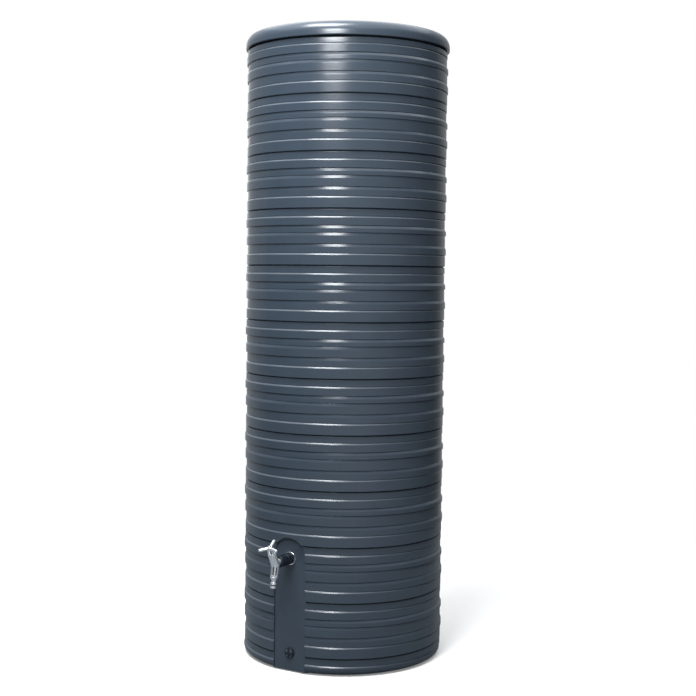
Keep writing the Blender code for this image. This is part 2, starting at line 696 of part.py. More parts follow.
def build_handle(silver, steel, bonnet_top):
    hub = rod("tap_handle", HUB_RADIUS, HUB_BOTTOM, HUB_TOP, FINE_SEGMENTS, STEM_AXIS, silver)

    for index in range(HANDLE_ARMS):
        direction = HANDLE_TURN + math.pi / 2.0 + math.tau * index / HANDLE_ARMS
        tip_point = (ARM_LENGTH, 0.0, ARM_LEVEL + ARM_RISE)
        curve = bpy.data.curves.new(f"arm_{index}", "CURVE")
        curve.dimensions = "3D"
        curve.bevel_depth = ARM_RADIUS
        curve.bevel_resolution = 1
        curve.use_fill_caps = True
        spline = curve.splines.new("POLY")
        spline.points.add(1)
        spline.points[0].co = (0.0, 0.0, ARM_LEVEL, 1.0)
        spline.points[1].co = (*tip_point, 1.0)
        arm = curve_to_operand(curve, STEM_AXIS)
        tip = turned(f"arm_tip_{index}", ball_profile(ARM_RADIUS, 4), 8, STEM_AXIS, closed=False)
        tip.location = Matrix.Rotation(direction, 3, "Z") @ Vector(tip_point)
        low = (LEG_INNER, -LEG_WIDTH / 2.0, bonnet_top + CLEARANCE)
        high = (LEG_OUTER, LEG_WIDTH / 2.0, ARM_LEVEL)
        leg = box(f"leg_{index}", low, high, STEM_AXIS)
        arm.rotation_euler = (0.0, 0.0, direction)
        leg.rotation_euler = (0.0, 0.0, direction)
        tip.rotation_euler = (0.0, 0.0, direction)
        join(hub, arm, tip, leg)

    socket_top = SPINDLE_TOP + CLEARANCE
    socket_radius = SPINDLE_RADIUS + CLEARANCE
    socket = rod("handle_socket", socket_radius, bonnet_top, socket_top, FINE_SEGMENTS, STEM_AXIS)
    screw_hole_radius = SCREW_RADIUS + THREAD_CLEARANCE
    screw_hole_top = HUB_TOP + ARM_RISE
    screw_hole = rod(
        "handle_hole", screw_hole_radius, SPINDLE_TOP, screw_hole_top, SMALL_SEGMENTS, STEM_AXIS
    )
    room_radius = SCREW_HEAD_RADIUS + CLEARANCE
    screw_room = rod(
        "screw_room", room_radius, HUB_TOP, HUB_TOP + ARM_RISE, FINE_SEGMENTS, STEM_AXIS
    )
    cut(hub, socket, screw_hole, screw_room)
    shade_round(hub)

    head_bottom = HUB_TOP + CLEARANCE
    head_top = head_bottom + SCREW_HEAD
    screw_profile = [
        (0.0, head_top),
        (SCREW_HEAD_RADIUS - SCREW_HEAD_CHAMFER, head_top),
        (SCREW_HEAD_RADIUS, head_top - SCREW_HEAD_CHAMFER),
        (SCREW_HEAD_RADIUS, head_bottom),
        (SCREW_RADIUS, head_bottom),
        (SCREW_RADIUS, SPINDLE_TOP - SCREW_DEPTH),
        (0.0, SPINDLE_TOP - SCREW_DEPTH),
    ]
    turned("handle_screw", screw_profile, SMALL_SEGMENTS, STEM_AXIS, steel, closed=False)


def build_nipple(silver, rubber):
    start = SPOUT_LENGTH + CLEARANCE
    cone_end = start + NIPPLE_CONE
    collar_start = cone_end + NIPPLE_NECK
    groove_start = collar_start + NIPPLE_COLLAR
    groove_end = groove_start + NIPPLE_GROOVE
    end = groove_end + NIPPLE_END
    thread_radius = SPOUT_THREAD - THREAD_CLEARANCE
    washer_start = SPOUT_LENGTH - SPOUT_THREAD_DEPTH + CLEARANCE
    thread_start = washer_start + NIPPLE_WASHER + CLEARANCE
    outside = [
        (thread_radius, thread_start),
        (thread_radius, start),
        (SPOUT_END_RADIUS, start),
        (NIPPLE_NECK_RADIUS, cone_end),
        (NIPPLE_NECK_RADIUS, collar_start),
        (NIPPLE_COLLAR_RADIUS, collar_start + NIPPLE_CHAMFER),
        (NIPPLE_COLLAR_RADIUS, groove_start),
        (NIPPLE_GROOVE_RADIUS, groove_start),
        (NIPPLE_GROOVE_RADIUS, groove_end),
        (NIPPLE_END_RADIUS, groove_end),
        (NIPPLE_END_RADIUS, end - NIPPLE_CHAMFER),
        (NIPPLE_END_RADIUS - NIPPLE_CHAMFER, end),
    ]
    profile = outside + [(NIPPLE_BORE, end), (NIPPLE_BORE, thread_start)]
    turned("hose_nipple", profile[::-1], FINE_SEGMENTS, SPOUT_AXIS, silver)

    ring_inner = NIPPLE_GROOVE_RADIUS + CLEARANCE
    ring_level = groove_start + NIPPLE_GROOVE / 2.0
    o_ring("nipple_o_ring", ring_inner, NIPPLE_O_RING, ring_level, FINE_SEGMENTS, SPOUT_AXIS, rubber)
    ring(
        "nipple_washer", NIPPLE_BORE, thread_radius, washer_start,
        washer_start + NIPPLE_WASHER, SMALL_SEGMENTS, SPOUT_AXIS, rubber,
    )


def build_drain(plastic, rubber, brass):
    insert_end = -(PANEL_WALL + DRAIN_BOSS)
    waist = INSERT_RADIUS - INSERT_WAIST
    bore = DRAIN_THREAD + THREAD_CLEARANCE
    profile = [
        (INSERT_RADIUS, 0.0),
        (INSERT_RADIUS, -INSERT_BAND),
        (waist, -(INSERT_BAND + INSERT_SLOPE)),
        (waist, insert_end + INSERT_BAND + INSERT_SLOPE),
        (INSERT_RADIUS, insert_end + INSERT_BAND),
        (INSERT_RADIUS, insert_end),
        (bore, insert_end),
        (bore, 0.0),
    ]
    turned("drain_insert", profile, FINE_SEGMENTS, DRAIN_AXIS, brass)

    seal_top = CLEARANCE + DRAIN_SEAL
    seal_radius = DRAIN_PLUG_RADIUS - CLEARANCE
    ring("drain_seal", bore, seal_radius, CLEARANCE, seal_top, FINE_SEGMENTS, DRAIN_AXIS, rubber)

    flange_bottom = seal_top + CLEARANCE
    flange_top = flange_bottom + DRAIN_PLUG_FLANGE
    hollow = DRAIN_THREAD - DRAIN_PLUG_WALL
    plug_profile = [
        (0.0, flange_top),
        (DRAIN_PLUG_RADIUS - DRAIN_PLUG_CHAMFER, flange_top),
        (DRAIN_PLUG_RADIUS, flange_top - DRAIN_PLUG_CHAMFER),
        (DRAIN_PLUG_RADIUS, flange_bottom),
        (DRAIN_THREAD, flange_bottom),
        (DRAIN_THREAD, -DRAIN_PLUG_SHANK),
        (hollow, -DRAIN_PLUG_SHANK),
        (hollow, 0.0),
        (0.0, 0.0),
    ]
    plug = turned("drain_plug", plug_profile, FINE_SEGMENTS, DRAIN_AXIS, plastic, closed=False)
    for index in range(2):
        low = (-CROSS_LENGTH / 2.0, -CROSS_WIDTH / 2.0, flange_top - CROSS_HEIGHT / 2.0)
        high = (CROSS_LENGTH / 2.0, CROSS_WIDTH / 2.0, flange_top + CROSS_HEIGHT)
        bar = box(f"cross_bar_{index}", low, high, DRAIN_AXIS)
        bar.rotation_euler = (0.0, 0.0, index * math.pi / 2.0)
        join(plug, bar)


clear_scene()
PIECES = new_collection("rainwater_tank")
CUTTERS = new_collection("cutters")

INLET_AXIS = new_axis("inlet_axis", (0.0, -PANEL_DISTANCE, TAP_HEIGHT), math.pi / 2.0)
DRAIN_AXIS = new_axis("drain_axis", (0.0, -PANEL_DISTANCE, DRAIN_HEIGHT), math.pi / 2.0)
STEM_AXIS = new_axis("stem_axis", BEND_POINT, STEM_LEAN)
SPOUT_AXIS = new_axis("spout_axis", BEND_POINT, math.pi - SPOUT_LEAN)

anthracite = new_material("anthracite_plastic", (0.055, 0.064, 0.072), 0.45)
black_plastic = new_material("black_plastic", (0.012, 0.012, 0.013), 0.40)
black_rubber = new_material("black_rubber", (0.020, 0.020, 0.020), 0.75)
silver_metal = new_material("silver_metal", (0.62, 0.63, 0.66), 0.28, 1.0)
chrome_metal = new_material("chrome_metal", (0.80, 0.81, 0.83), 0.10, 1.0)
steel_metal = new_material("steel_metal", (0.50, 0.50, 0.52), 0.30, 1.0)
brass_metal = new_material("brass_metal", (0.60, 0.45, 0.20), 0.30, 1.0)

build_tank_body(anthracite)
build_lid(anthracite)
build_connector(black_plastic, black_rubber, chrome_metal)
build_tap_body(silver_metal)
bonnet_face = build_valve(silver_metal, black_plastic, black_rubber)
build_handle(silver_metal, steel_metal, bonnet_face)
build_nipple(silver_metal, black_rubber)
build_drain(black_plastic, black_rubber, brass_metal)
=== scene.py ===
"""A round anthracite rainwater tank with its lid, tap and drain plug, in a light studio.

Metres, +Z up. The tank's axis is Z, its base stands on Z = 0 and the tap panel faces -Y.
"""
import math

import bpy
from mathutils import Matrix, Vector


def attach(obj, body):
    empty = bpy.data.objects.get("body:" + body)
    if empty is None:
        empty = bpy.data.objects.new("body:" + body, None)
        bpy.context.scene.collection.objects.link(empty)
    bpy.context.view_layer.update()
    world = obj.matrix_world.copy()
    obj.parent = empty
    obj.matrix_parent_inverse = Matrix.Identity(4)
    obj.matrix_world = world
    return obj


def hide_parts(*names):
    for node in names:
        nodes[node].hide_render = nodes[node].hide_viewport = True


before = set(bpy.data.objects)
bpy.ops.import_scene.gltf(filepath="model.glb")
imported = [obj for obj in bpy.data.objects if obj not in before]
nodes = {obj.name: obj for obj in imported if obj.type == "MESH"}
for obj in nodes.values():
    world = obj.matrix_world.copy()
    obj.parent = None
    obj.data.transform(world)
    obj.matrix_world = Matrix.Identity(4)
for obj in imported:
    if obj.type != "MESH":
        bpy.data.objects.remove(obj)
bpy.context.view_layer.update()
bpy.ops.object.select_all(action="DESELECT")


# Tank body. The real one is a single hollow blow moulding in anthracite polyethylene. Its mould
# was cut as a stack of thin stone slabs, each shifted a little sideways, so that every joint is a
# ledge on one side and an undercut on the other.
TANK_RADIUS = 0.300
BODY_TOP = 1.8125
WALL = 0.009
FLOOR_WALL = 0.008
BASE_FILLET = 0.020
WALL_SIDES = 144
SLABS = (
    # height, shift, direction of the shift in degrees from +X, extra radius, joint above
    (0.0355, 0.0022, -58.5, 0.0000, "ledge"),
    (0.0205, 0.0022, 130.0, 0.0000, "overhang"),
    (0.0272, 0.0022, 211.5, 0.0003, "ledge"),
    (0.0205, 0.0017, 31.5, 0.0005, "groove"),
    (0.0318, 0.0009, 211.5, 0.0003, "groove"),
    (0.0253, 0.0024, 31.5, 0.0000, "groove"),
)
LOWEST_COURSE_TOP = 0.0863
COURSES = 12
# Profile of the sloping upper edge of a slab, from the joint's root: across and down, as shares.
CONVEX = ((0.10, 0.03), (0.50, 0.38), (0.90, 0.85), (0.97, 1.0), (1.0, 1.25))
STRAIGHT = ((0.06, 0.03), (0.92, 0.90), (0.97, 1.0), (1.0, 1.25))
JOINTS = {
    # how far the root lies inside both slabs, height of the upper slab's slanted lower edge,
    # height and profile of the lower slab's sloping upper edge
    "ledge": (0.0012, 0.0005, 0.0050, CONVEX),
    "overhang": (0.0030, 0.0032, 0.0022, STRAIGHT),
    "groove": (0.0006, 0.0018, 0.0078, STRAIGHT),
}
EDGE_ROUND = 0.0004
WELD = 0.00005                   # points closer than this become one
FILLET_RINGS = 6
FOOT_HEIGHT = 0.0035             # the base stands on a foot set in under its edge
FOOT_INSET = 0.006


def hex_colour(code):
    """An sRGB hex value as the linear colour that the shader takes."""
    channels = [int(code[index:index + 2], 16) / 255.0 for index in (1, 3, 5)]
    linear = [c / 12.92 if c <= 0.04045 else ((c + 0.055) / 1.055) ** 2.4 for c in channels]
    return (*linear, 1.0)


def new_material(name, colour, roughness, metallic=0.0):
    """A material with a plain shader, whose sockets are then fed with patterns."""
    material = bpy.data.materials.new(name)
    material.use_nodes = True
    shader = material.node_tree.nodes["Principled BSDF"]
    shader.inputs["Base Color"].default_value = hex_colour(colour)
    shader.inputs["Roughness"].default_value = roughness
    shader.inputs["Metallic"].default_value = metallic
    return material


def add_node(owner, kind, settings=(), values=(), links=()):
    """Adds a node to a material or the world; links are (socket, node, output)."""
    tree = owner.node_tree
    node = tree.nodes.new(kind)
    for name, value in dict(settings).items():
        setattr(node, name, value)
    for name, value in dict(values).items():
        node.inputs[name].default_value = value
    for name, source, output in links:
        tree.links.new(source.outputs[output], node.inputs[name])
    return node


def feed(material, socket, source, output):
    """Links a node's output to a socket of the material's shader."""
    shader = material.node_tree.nodes["Principled BSDF"]
    material.node_tree.links.new(source.outputs[output], shader.inputs[socket])


# Most of a noise lies between these two values.
NOISE_RANGE = {"From Min": 0.3, "From Max": 0.7}

# Blow-moulded polyethylene, coloured through. The blasted mould leaves a fine grain, which breaks
# up the highlights, and the slab faces carry the faint, flat waves of split stone. The upward lips
# of the slabs are painted a lighter grey in patches, as a painted highlight.
moulded_polyethylene = new_material("moulded_polyethylene", "#303B46", 0.30)
place = add_node(moulded_polyethylene, "ShaderNodeTexCoord")
stone_waves = add_node(
    moulded_polyethylene, "ShaderNodeTexNoise",
    values={"Scale": 14.0, "Detail": 4.0, "Roughness": 0.55},
    links=[("Vector", place, "Object")],
)
grain = add_node(
    moulded_polyethylene, "ShaderNodeTexNoise",
    values={"Scale": 520.0, "Detail": 3.0, "Roughness": 0.6},
    links=[("Vector", place, "Object")],
)
tone = add_node(
    moulded_polyethylene, "ShaderNodeMix", settings={"data_type": "RGBA"},
    links=[("Factor", stone_waves, "Fac")],
)
tone.name = "stone_tone"
tone.inputs[6].default_value = hex_colour("#323C47")
tone.inputs[7].default_value = hex_colour("#39434E")
facing = add_node(moulded_polyethylene, "ShaderNodeNewGeometry")
upward = add_node(
    moulded_polyethylene, "ShaderNodeSeparateXYZ", links=[("Vector", facing, "Normal")]
)
on_lip = add_node(
    moulded_polyethylene, "ShaderNodeMapRange", settings={"interpolation_type": "SMOOTHSTEP"},
    values={"From Min": 0.25, "From Max": 0.65}, links=[("Value", upward, "Z")],
)
patches = add_node(
    moulded_polyethylene, "ShaderNodeMapRange",
    values={**NOISE_RANGE, "To Min": 0.6, "To Max": 1.0},
    links=[("Value", stone_waves, "Fac")],
)
# Painted highlight: faces that turn upwards, the lips of the slabs, are lightened in patches.
painted_lip_highlight = add_node(
    moulded_polyethylene, "ShaderNodeMath", settings={"operation": "MULTIPLY"},
    links=[(0, on_lip, "Result"), (1, patches, "Result")],
)
tone_with_painted_highlight = add_node(
    moulded_polyethylene, "ShaderNodeMix", settings={"data_type": "RGBA"},
    links=[("Factor", painted_lip_highlight, 0), (6, tone, 2)],
)
tone_with_painted_highlight.inputs[7].default_value = hex_colour("#474F58")
feed(moulded_polyethylene, "Base Color", tone_with_painted_highlight, 2)
gloss = add_node(
    moulded_polyethylene, "ShaderNodeMapRange",
    values={**NOISE_RANGE, "To Min": 0.21, "To Max": 0.28},
    links=[("Value", grain, "Fac")],
)
feed(moulded_polyethylene, "Roughness", gloss, "Result")
wave_bump = add_node(
    moulded_polyethylene, "ShaderNodeBump", values={"Strength": 0.25, "Distance": 0.002},
    links=[("Height", stone_waves, "Fac")],
)
grain_bump = add_node(
    moulded_polyethylene, "ShaderNodeBump", values={"Strength": 0.12, "Distance": 0.0003},
    links=[("Height", grain, "Fac"), ("Normal", wave_bump, "Normal")],
)
feed(moulded_polyethylene, "Normal", grain_bump, "Normal")


def start_ring(name, radius, level, sides, centre=(0.0, 0.0)):
    """A new object with one ring of edges, left selected in edit mode."""
    bpy.ops.mesh.primitive_circle_add(vertices=sides, radius=radius)
    bpy.context.object.name = name
    bpy.ops.object.mode_set(mode="EDIT")
    bpy.ops.transform.translate(value=(*centre, level))
    return (radius, level, centre)


def grow(last, radius, level, centre=(0.0, 0.0)):
    """Extrudes the selected ring to the next radius, level and centre."""
    old_radius, old_level, old_centre = last
    move = (centre[0] - old_centre[0], centre[1] - old_centre[1], level - old_level)
    bpy.ops.mesh.extrude_region_move(TRANSFORM_OT_translate={"value": move})
    factor = radius / old_radius
    bpy.ops.transform.resize(value=(factor, factor, 1.0), center_override=(*centre, level))
    return (radius, level, centre)


def finish_piece(material, body, stands_for=(), angle=40.0):
    piece = bpy.context.object
    if piece.mode == "EDIT":
        bpy.ops.mesh.select_all(action="SELECT")
        bpy.ops.mesh.normals_make_consistent(inside=False)
        bpy.ops.object.mode_set(mode="OBJECT")
    bpy.ops.object.transform_apply(location=True, rotation=True, scale=True)
    bpy.ops.object.shade_smooth_by_angle(angle=math.radians(angle))
    apply_modifier(piece, "WEIGHTED_NORMAL", mode="FACE_AREA", keep_sharp=True)
    piece.data.materials.clear()
    piece.data.materials.append(material)
    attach(piece, body)
    if stands_for:
        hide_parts(*stands_for)
    bpy.ops.object.select_all(action="DESELECT")
    return piece


def apply_modifier(piece, kind, **settings):
    """Adds a modifier to the active piece and applies it at once."""
    modifier = piece.modifiers.new(kind.title(), kind)
    for name, value in settings.items():
        setattr(modifier, name, value)
    bpy.ops.object.modifier_apply(modifier=modifier.name)


def combine(piece, other, operation):
    """Joins or cuts with another object, which is then removed."""
    bpy.ops.object.select_all(action="DESELECT")
    bpy.context.view_layer.objects.active = piece
    piece.select_set(True)
    apply_modifier(piece, "BOOLEAN", object=other, operation=operation, solver="EXACT")
    bpy.data.objects.remove(other, do_unlink=True)


def slab_centre(slab):
    """Where a shifted slab's axis stands, in X and Y."""
    angle = math.radians(slab[2])
    return (slab[1] * math.cos(angle), slab[1] * math.sin(angle))


def slab_radius(slab):
    return TANK_RADIUS + slab[3]


def mix(first, second, share):
    return first + (second - first) * share


# One course of six slabs is drawn from the middle of its lowest slab to the same place one
# course further down, and copied up the wall.
course_height = sum(slab[0] for slab in SLABS)
last_slab = SLABS[-1]
level = LOWEST_COURSE_TOP + last_slab[0] / 2.0
at = start_ring("tank", slab_radius(last_slab), level, WALL_SIDES, slab_centre(last_slab))
course_top = level
level = LOWEST_COURSE_TOP
for index, below in enumerate(SLABS):
    above = SLABS[index - 1]
    upper, lower = slab_centre(above), slab_centre(below)
    root_depth, undercut, lip_height, profile = JOINTS[below[4]]
    offset = math.dist(upper, lower) / 2.0
    root_centre = (mix(upper[0], lower[0], 0.5), mix(upper[1], lower[1], 0.5))
    root_radius = mix(slab_radius(above), slab_radius(below), 0.5) - offset - root_depth
    at = grow(at, slab_radius(above), level + undercut, upper)
    at = grow(at, slab_radius(above) - EDGE_ROUND, level + undercut - EDGE_ROUND, upper)
    at = grow(at, root_radius, level, root_centre)
    for across, down in profile:
        centre = (mix(root_centre[0], lower[0], across), mix(root_centre[1], lower[1], across))
        radius = mix(root_radius, slab_radius(below), across)
        at = grow(at, radius, level - lip_height * down, centre)
    level -= below[0]
at = grow(at, slab_radius(last_slab), course_top - course_height, slab_centre(last_slab))
bpy.ops.object.mode_set(mode="OBJECT")
tank = bpy.context.object
apply_modifier(
    tank, "ARRAY", count=COURSES, use_relative_offset=False, use_constant_offset=True,
    constant_offset_displace=(0.0, 0.0, course_height), use_merge_vertices=True,
    merge_threshold=WELD,
)

# The stack is cut to length. From the lower cut a rounded edge runs to the base, and from the
# upper one the shoulder, the neck and then the inner wall run down to the inner floor.
NECK_RADIUS = 0.286
NECK_TOP = 1.856
NECK_WALL = 0.008
NECK_EDGE = 0.001
SHOULDER_DROP = 0.004
SHOULDER_RINGS = 4
INNER_CORNER = 0.003
top_slab, base_slab = SLABS[1], SLABS[2]         # the ones that the two cuts run through
bpy.ops.object.mode_set(mode="EDIT")
bpy.ops.mesh.select_all(action="SELECT")
bpy.ops.mesh.bisect(plane_co=(0.0, 0.0, BASE_FILLET), plane_no=(0.0, 0.0, 1.0), clear_inner=True)
at = (slab_radius(base_slab), BASE_FILLET, slab_centre(base_slab))
for ring in range(1, FILLET_RINGS + 1):
    angle = math.pi / 2.0 * ring / FILLET_RINGS
    radius = slab_radius(base_slab) - BASE_FILLET * (1.0 - math.cos(angle))
    drop = (BASE_FILLET - FOOT_HEIGHT) * math.sin(angle)
    at = grow(at, radius, BASE_FILLET - drop, slab_centre(base_slab))
at = grow(at, radius - FOOT_INSET, FOOT_HEIGHT, slab_centre(base_slab))
at = grow(at, radius - FOOT_INSET, 0.0, slab_centre(base_slab))
bpy.ops.mesh.edge_face_add()
bpy.ops.mesh.select_all(action="SELECT")
bpy.ops.mesh.bisect(plane_co=(0.0, 0.0, BODY_TOP), plane_no=(0.0, 0.0, 1.0), clear_outer=True)
at = (slab_radius(top_slab), BODY_TOP, slab_centre(top_slab))
for ring in range(1, SHOULDER_RINGS + 1):
    angle = math.pi / 2.0 * ring / SHOULDER_RINGS
    share = 1.0 - math.cos(angle)
    centre = tuple(value * (1.0 - share) for value in slab_centre(top_slab))
    radius = mix(slab_radius(top_slab), NECK_RADIUS, share)
    at = grow(at, radius, BODY_TOP + SHOULDER_DROP * math.sin(angle), centre)
inner = TANK_RADIUS - WALL
neck_inner = NECK_RADIUS - NECK_WALL
for radius, level in (
    (NECK_RADIUS, NECK_TOP - NECK_EDGE),
    (NECK_RADIUS - NECK_EDGE, NECK_TOP),
    (neck_inner + NECK_EDGE, NECK_TOP),
    (neck_inner, NECK_TOP - NECK_EDGE),
    (neck_inner, BODY_TOP),
    (inner, BODY_TOP - (inner - neck_inner)),
    (inner, FLOOR_WALL + INNER_CORNER),
    (inner - INNER_CORNER, FLOOR_WALL),
):
    at = grow(at, radius, level)
bpy.ops.mesh.edge_face_add()
bpy.ops.object.mode_set(mode="OBJECT")

# The tap panel is a flat arched recess that cuts through all the slabs, so the wall behind it is
# set back as well.
PANEL_DISTANCE = 0.291
PANEL_HALF_WIDTH = 0.053
PANEL_WALL = 0.008
PANEL_EDGE = 0.0006             # width of the bevelled edge round the panel
PANEL_FLARE = 0.012             # how far the recess goes on widening in front of the wall
ARCH_CENTRE = 0.339
ARCH_STEPS = 24
TAP_HEIGHT = 0.333
DRAIN_HEIGHT = 0.056
CONNECTOR_HOLE = 0.0135
INSERT_HOLE = 0.0151
DRAIN_BOSS_RADIUS = 0.024
DRAIN_BOSS = 0.008
BOSS_OVERLAP = 0.001            # how far the boss ends behind the panel's face
CUT_PAST = 0.01                 # how far a cutter runs past the wall
NEAR = 0.001                    # places that lie closer than this count as one


def arched_block(name, half_width, back, front, bottom):
    """A block with a round-headed outline, between two distances in front of the tank's axis."""
    bpy.ops.mesh.primitive_cube_add(size=1.0)
    block = bpy.context.object
    block.name = name
    top = ARCH_CENTRE + half_width
    bpy.ops.object.mode_set(mode="EDIT")
    bpy.ops.transform.resize(value=(2.0 * half_width, front - back, top - bottom))
    bpy.ops.transform.translate(value=(0.0, -(front + back) / 2.0, (top + bottom) / 2.0))
    bpy.ops.mesh.select_mode(type="EDGE")
    bpy.ops.mesh.select_all(action="DESELECT")
    bpy.ops.object.mode_set(mode="OBJECT")
    for edge in block.data.edges:
        ends = [block.data.vertices[index].co for index in edge.vertices]
        across_wall = abs(ends[0].x - ends[1].x) < NEAR
        edge.select = across_wall and min(end.z for end in ends) > top - NEAR
    bpy.ops.object.mode_set(mode="EDIT")
    # a little short of the full half width, at which the two rounded corners would meet
    bpy.ops.mesh.bevel(offset=half_width * 0.999, segments=ARCH_STEPS, affect="EDGES")
    bpy.ops.mesh.select_mode(type="VERT")
    bpy.ops.mesh.select_all(action="DESELECT")
    bpy.ops.object.mode_set(mode="OBJECT")
    return block


def plain_rod(name, radius, start, end, level, sides=48):
    """A cutter along Y, between two distances in front of the tank's axis."""
    bpy.ops.mesh.primitive_cylinder_add(
        vertices=sides, radius=radius, depth=end - start,
        location=(0.0, -(start + end) / 2.0, level), rotation=(math.pi / 2.0, 0.0, 0.0),
    )
    cutter = bpy.context.object
    cutter.name = name
    return cutter


panel_back = PANEL_DISTANCE - PANEL_WALL
for name, half_width, front in (
    ("panel_back", PANEL_HALF_WIDTH + PANEL_WALL, PANEL_DISTANCE - PANEL_WALL / 2.0),
    ("panel_front", PANEL_HALF_WIDTH + PANEL_EDGE, PANEL_DISTANCE + PANEL_EDGE),
):
    back_wall = arched_block(name, half_width, panel_back, front, FLOOR_WALL / 2.0)
    combine(tank, back_wall, "UNION")
boss_end = panel_back - DRAIN_BOSS
combine(
    tank,
    plain_rod(
        "drain_boss", DRAIN_BOSS_RADIUS, boss_end, PANEL_DISTANCE - BOSS_OVERLAP, DRAIN_HEIGHT
    ),
    "UNION",
)

# The cutter for the recess follows the wall's curve in front and flares out from there, which
# bevels the edge all round the panel.
recess = arched_block(
    "panel_recess", PANEL_HALF_WIDTH, PANEL_DISTANCE, TANK_RADIUS + 2.0 * CUT_PAST, -BASE_FILLET
)
for vertex in recess.data.vertices:
    vertex.select = vertex.co.y < -TANK_RADIUS
    if vertex.select:
        vertex.co.y = PANEL_EDGE - math.sqrt(TANK_RADIUS ** 2 - vertex.co.x ** 2)
bpy.ops.object.mode_set(mode="EDIT")
bpy.ops.mesh.extrude_region_move(TRANSFORM_OT_translate={"value": (0.0, -PANEL_FLARE, 0.0)})
flare = (PANEL_HALF_WIDTH + PANEL_FLARE) / PANEL_HALF_WIDTH
bpy.ops.transform.resize(value=(flare, 1.0, flare), center_override=(0.0, 0.0, ARCH_CENTRE))
bpy.ops.object.mode_set(mode="OBJECT")
combine(tank, recess, "DIFFERENCE")
for name, radius, start, height in (
    ("tap_hole", CONNECTOR_HOLE, PANEL_DISTANCE - 2.0 * CUT_PAST, TAP_HEIGHT),
    ("insert_hole", INSERT_HOLE, boss_end - CUT_PAST, DRAIN_HEIGHT),
):
    combine(tank, plain_rod(name, radius, start, TANK_RADIUS, height), "DIFFERENCE")
finish_piece(moulded_polyethylene, "tank", ["tank_body"])


# Lid. The real one is a domed cap of the same plastic that drops over the neck. It has a straight
# band with a rounded lower edge, a wide rolled shoulder and an almost flat crown.
LID_RADIUS = 0.306
LID_BOTTOM = 1.819
LID_EDGE_ROUND = 0.003
LID_BAND_STRAIGHT = 0.007
LID_ARC_WIDTH = 0.028
LID_ARC_HEIGHT = 0.033
LID_CROWN = 0.010
LID_WALL = 0.0045
LID_SEAT_GAP = 0.0012
LID_EDGE_STEPS = 8
LID_ARC_STEPS = 16
LID_CROWN_STEPS = 10
GAP = 0.0003                     # between two pieces that touch
band_top = LID_BOTTOM + LID_EDGE_ROUND + LID_BAND_STRAIGHT
rim_radius = LID_RADIUS - LID_ARC_WIDTH
crown_edge = band_top + LID_ARC_HEIGHT
outline = []
for step in range(LID_EDGE_STEPS + 1):
    angle = math.pi / 2.0 * step / LID_EDGE_STEPS
    radius = LID_RADIUS - LID_EDGE_ROUND * (1.0 - math.sin(angle))
    outline.append((radius, LID_BOTTOM + LID_EDGE_ROUND * (1.0 - math.cos(angle))))
for step in range(LID_ARC_STEPS + 1):
    angle = math.pi / 2.0 * step / LID_ARC_STEPS
    radius = rim_radius + LID_ARC_WIDTH * math.cos(angle)
    outline.append((radius, band_top + LID_ARC_HEIGHT * math.sin(angle)))
for step in range(1, LID_CROWN_STEPS):
    share = 1.0 - step / LID_CROWN_STEPS
    outline.append((rim_radius * share, crown_edge + LID_CROWN * (1.0 - share ** 2)))
skirt = LID_RADIUS - LID_EDGE_ROUND - LID_WALL
seat = NECK_TOP + GAP
inside = [
    (skirt, LID_BOTTOM),
    (skirt, band_top),
    (NECK_RADIUS + LID_SEAT_GAP, seat),
    (NECK_RADIUS - NECK_WALL, seat),
]
inside += [(radius, level - LID_WALL) for radius, level in outline[1 - LID_CROWN_STEPS:]]
at = start_ring("lid_cap", *outline[0], WALL_SIDES)
for radius, level in outline[1:]:
    at = grow(at, radius, level)
bpy.ops.mesh.merge(type="CENTER")
bpy.ops.mesh.select_all(action="DESELECT")
bpy.ops.object.mode_set(mode="OBJECT")
lid = bpy.context.object
for vertex in lid.data.vertices:
    vertex.select = vertex.co.z < LID_BOTTOM + WELD / 10.0
bpy.ops.object.mode_set(mode="EDIT")
at = (outline[0][0], outline[0][1], (0.0, 0.0))
for radius, level in inside:
    at = grow(at, radius, level)
bpy.ops.mesh.merge(type="CENTER")

# The lid's plastic is the same one without the painted highlight on upward-facing lips.
lid_polyethylene = moulded_polyethylene.copy()
lid_polyethylene.name = "lid_polyethylene"
feed(lid_polyethylene, "Base Color", lid_polyethylene.node_tree.nodes["stone_tone"], 2)
finish_piece(lid_polyethylene, "tank", ["lid"])


# Drain. A brass bush moulded into the wall takes a black polypropylene screw plug, which seals on
# a flat rubber washer. The plug is an injection moulding with a cross on its face for the fingers.
DRAIN_SEAL = 0.0015
DRAIN_THREAD = 0.0115
DRAIN_SHANK = 0.012
DRAIN_HOLLOW = 0.0080
HOLLOW_DRAFT = 0.001             # the plug's hollow narrows by this towards its face
PLUG_FLANGE_RADIUS = 0.0150
PLUG_FLANGE = 0.0035
PLUG_RIM = 0.0024
PLUG_RIM_SLOPE = 0.0006
POCKET_DEPTH = 0.0008            # how far the face lies back inside the rim
CROSS_SIZE = (0.0230, 0.0062, 0.0030)
CROSS_EDGE = 0.0008


def mottle(material, scale, roughness, bump_height):
    """Uneven gloss and a fine relief from one noise; roughness is (lowest, highest)."""
    where = add_node(material, "ShaderNodeTexCoord")
    noise = add_node(
        material, "ShaderNodeTexNoise", values={"Scale": scale, "Detail": 3.0, "Roughness": 0.55},
        links=[("Vector", where, "Object")],
    )
    spread = add_node(
        material, "ShaderNodeMapRange",
        values={**NOISE_RANGE, "To Min": roughness[0], "To Max": roughness[1]},
        links=[("Value", noise, "Fac")],
    )
    feed(material, "Roughness", spread, "Result")
    relief = add_node(
        material, "ShaderNodeBump", values={"Strength": 0.5, "Distance": bump_height},
        links=[("Height", noise, "Fac")],
    )
    feed(material, "Normal", relief, "Normal")
    return noise


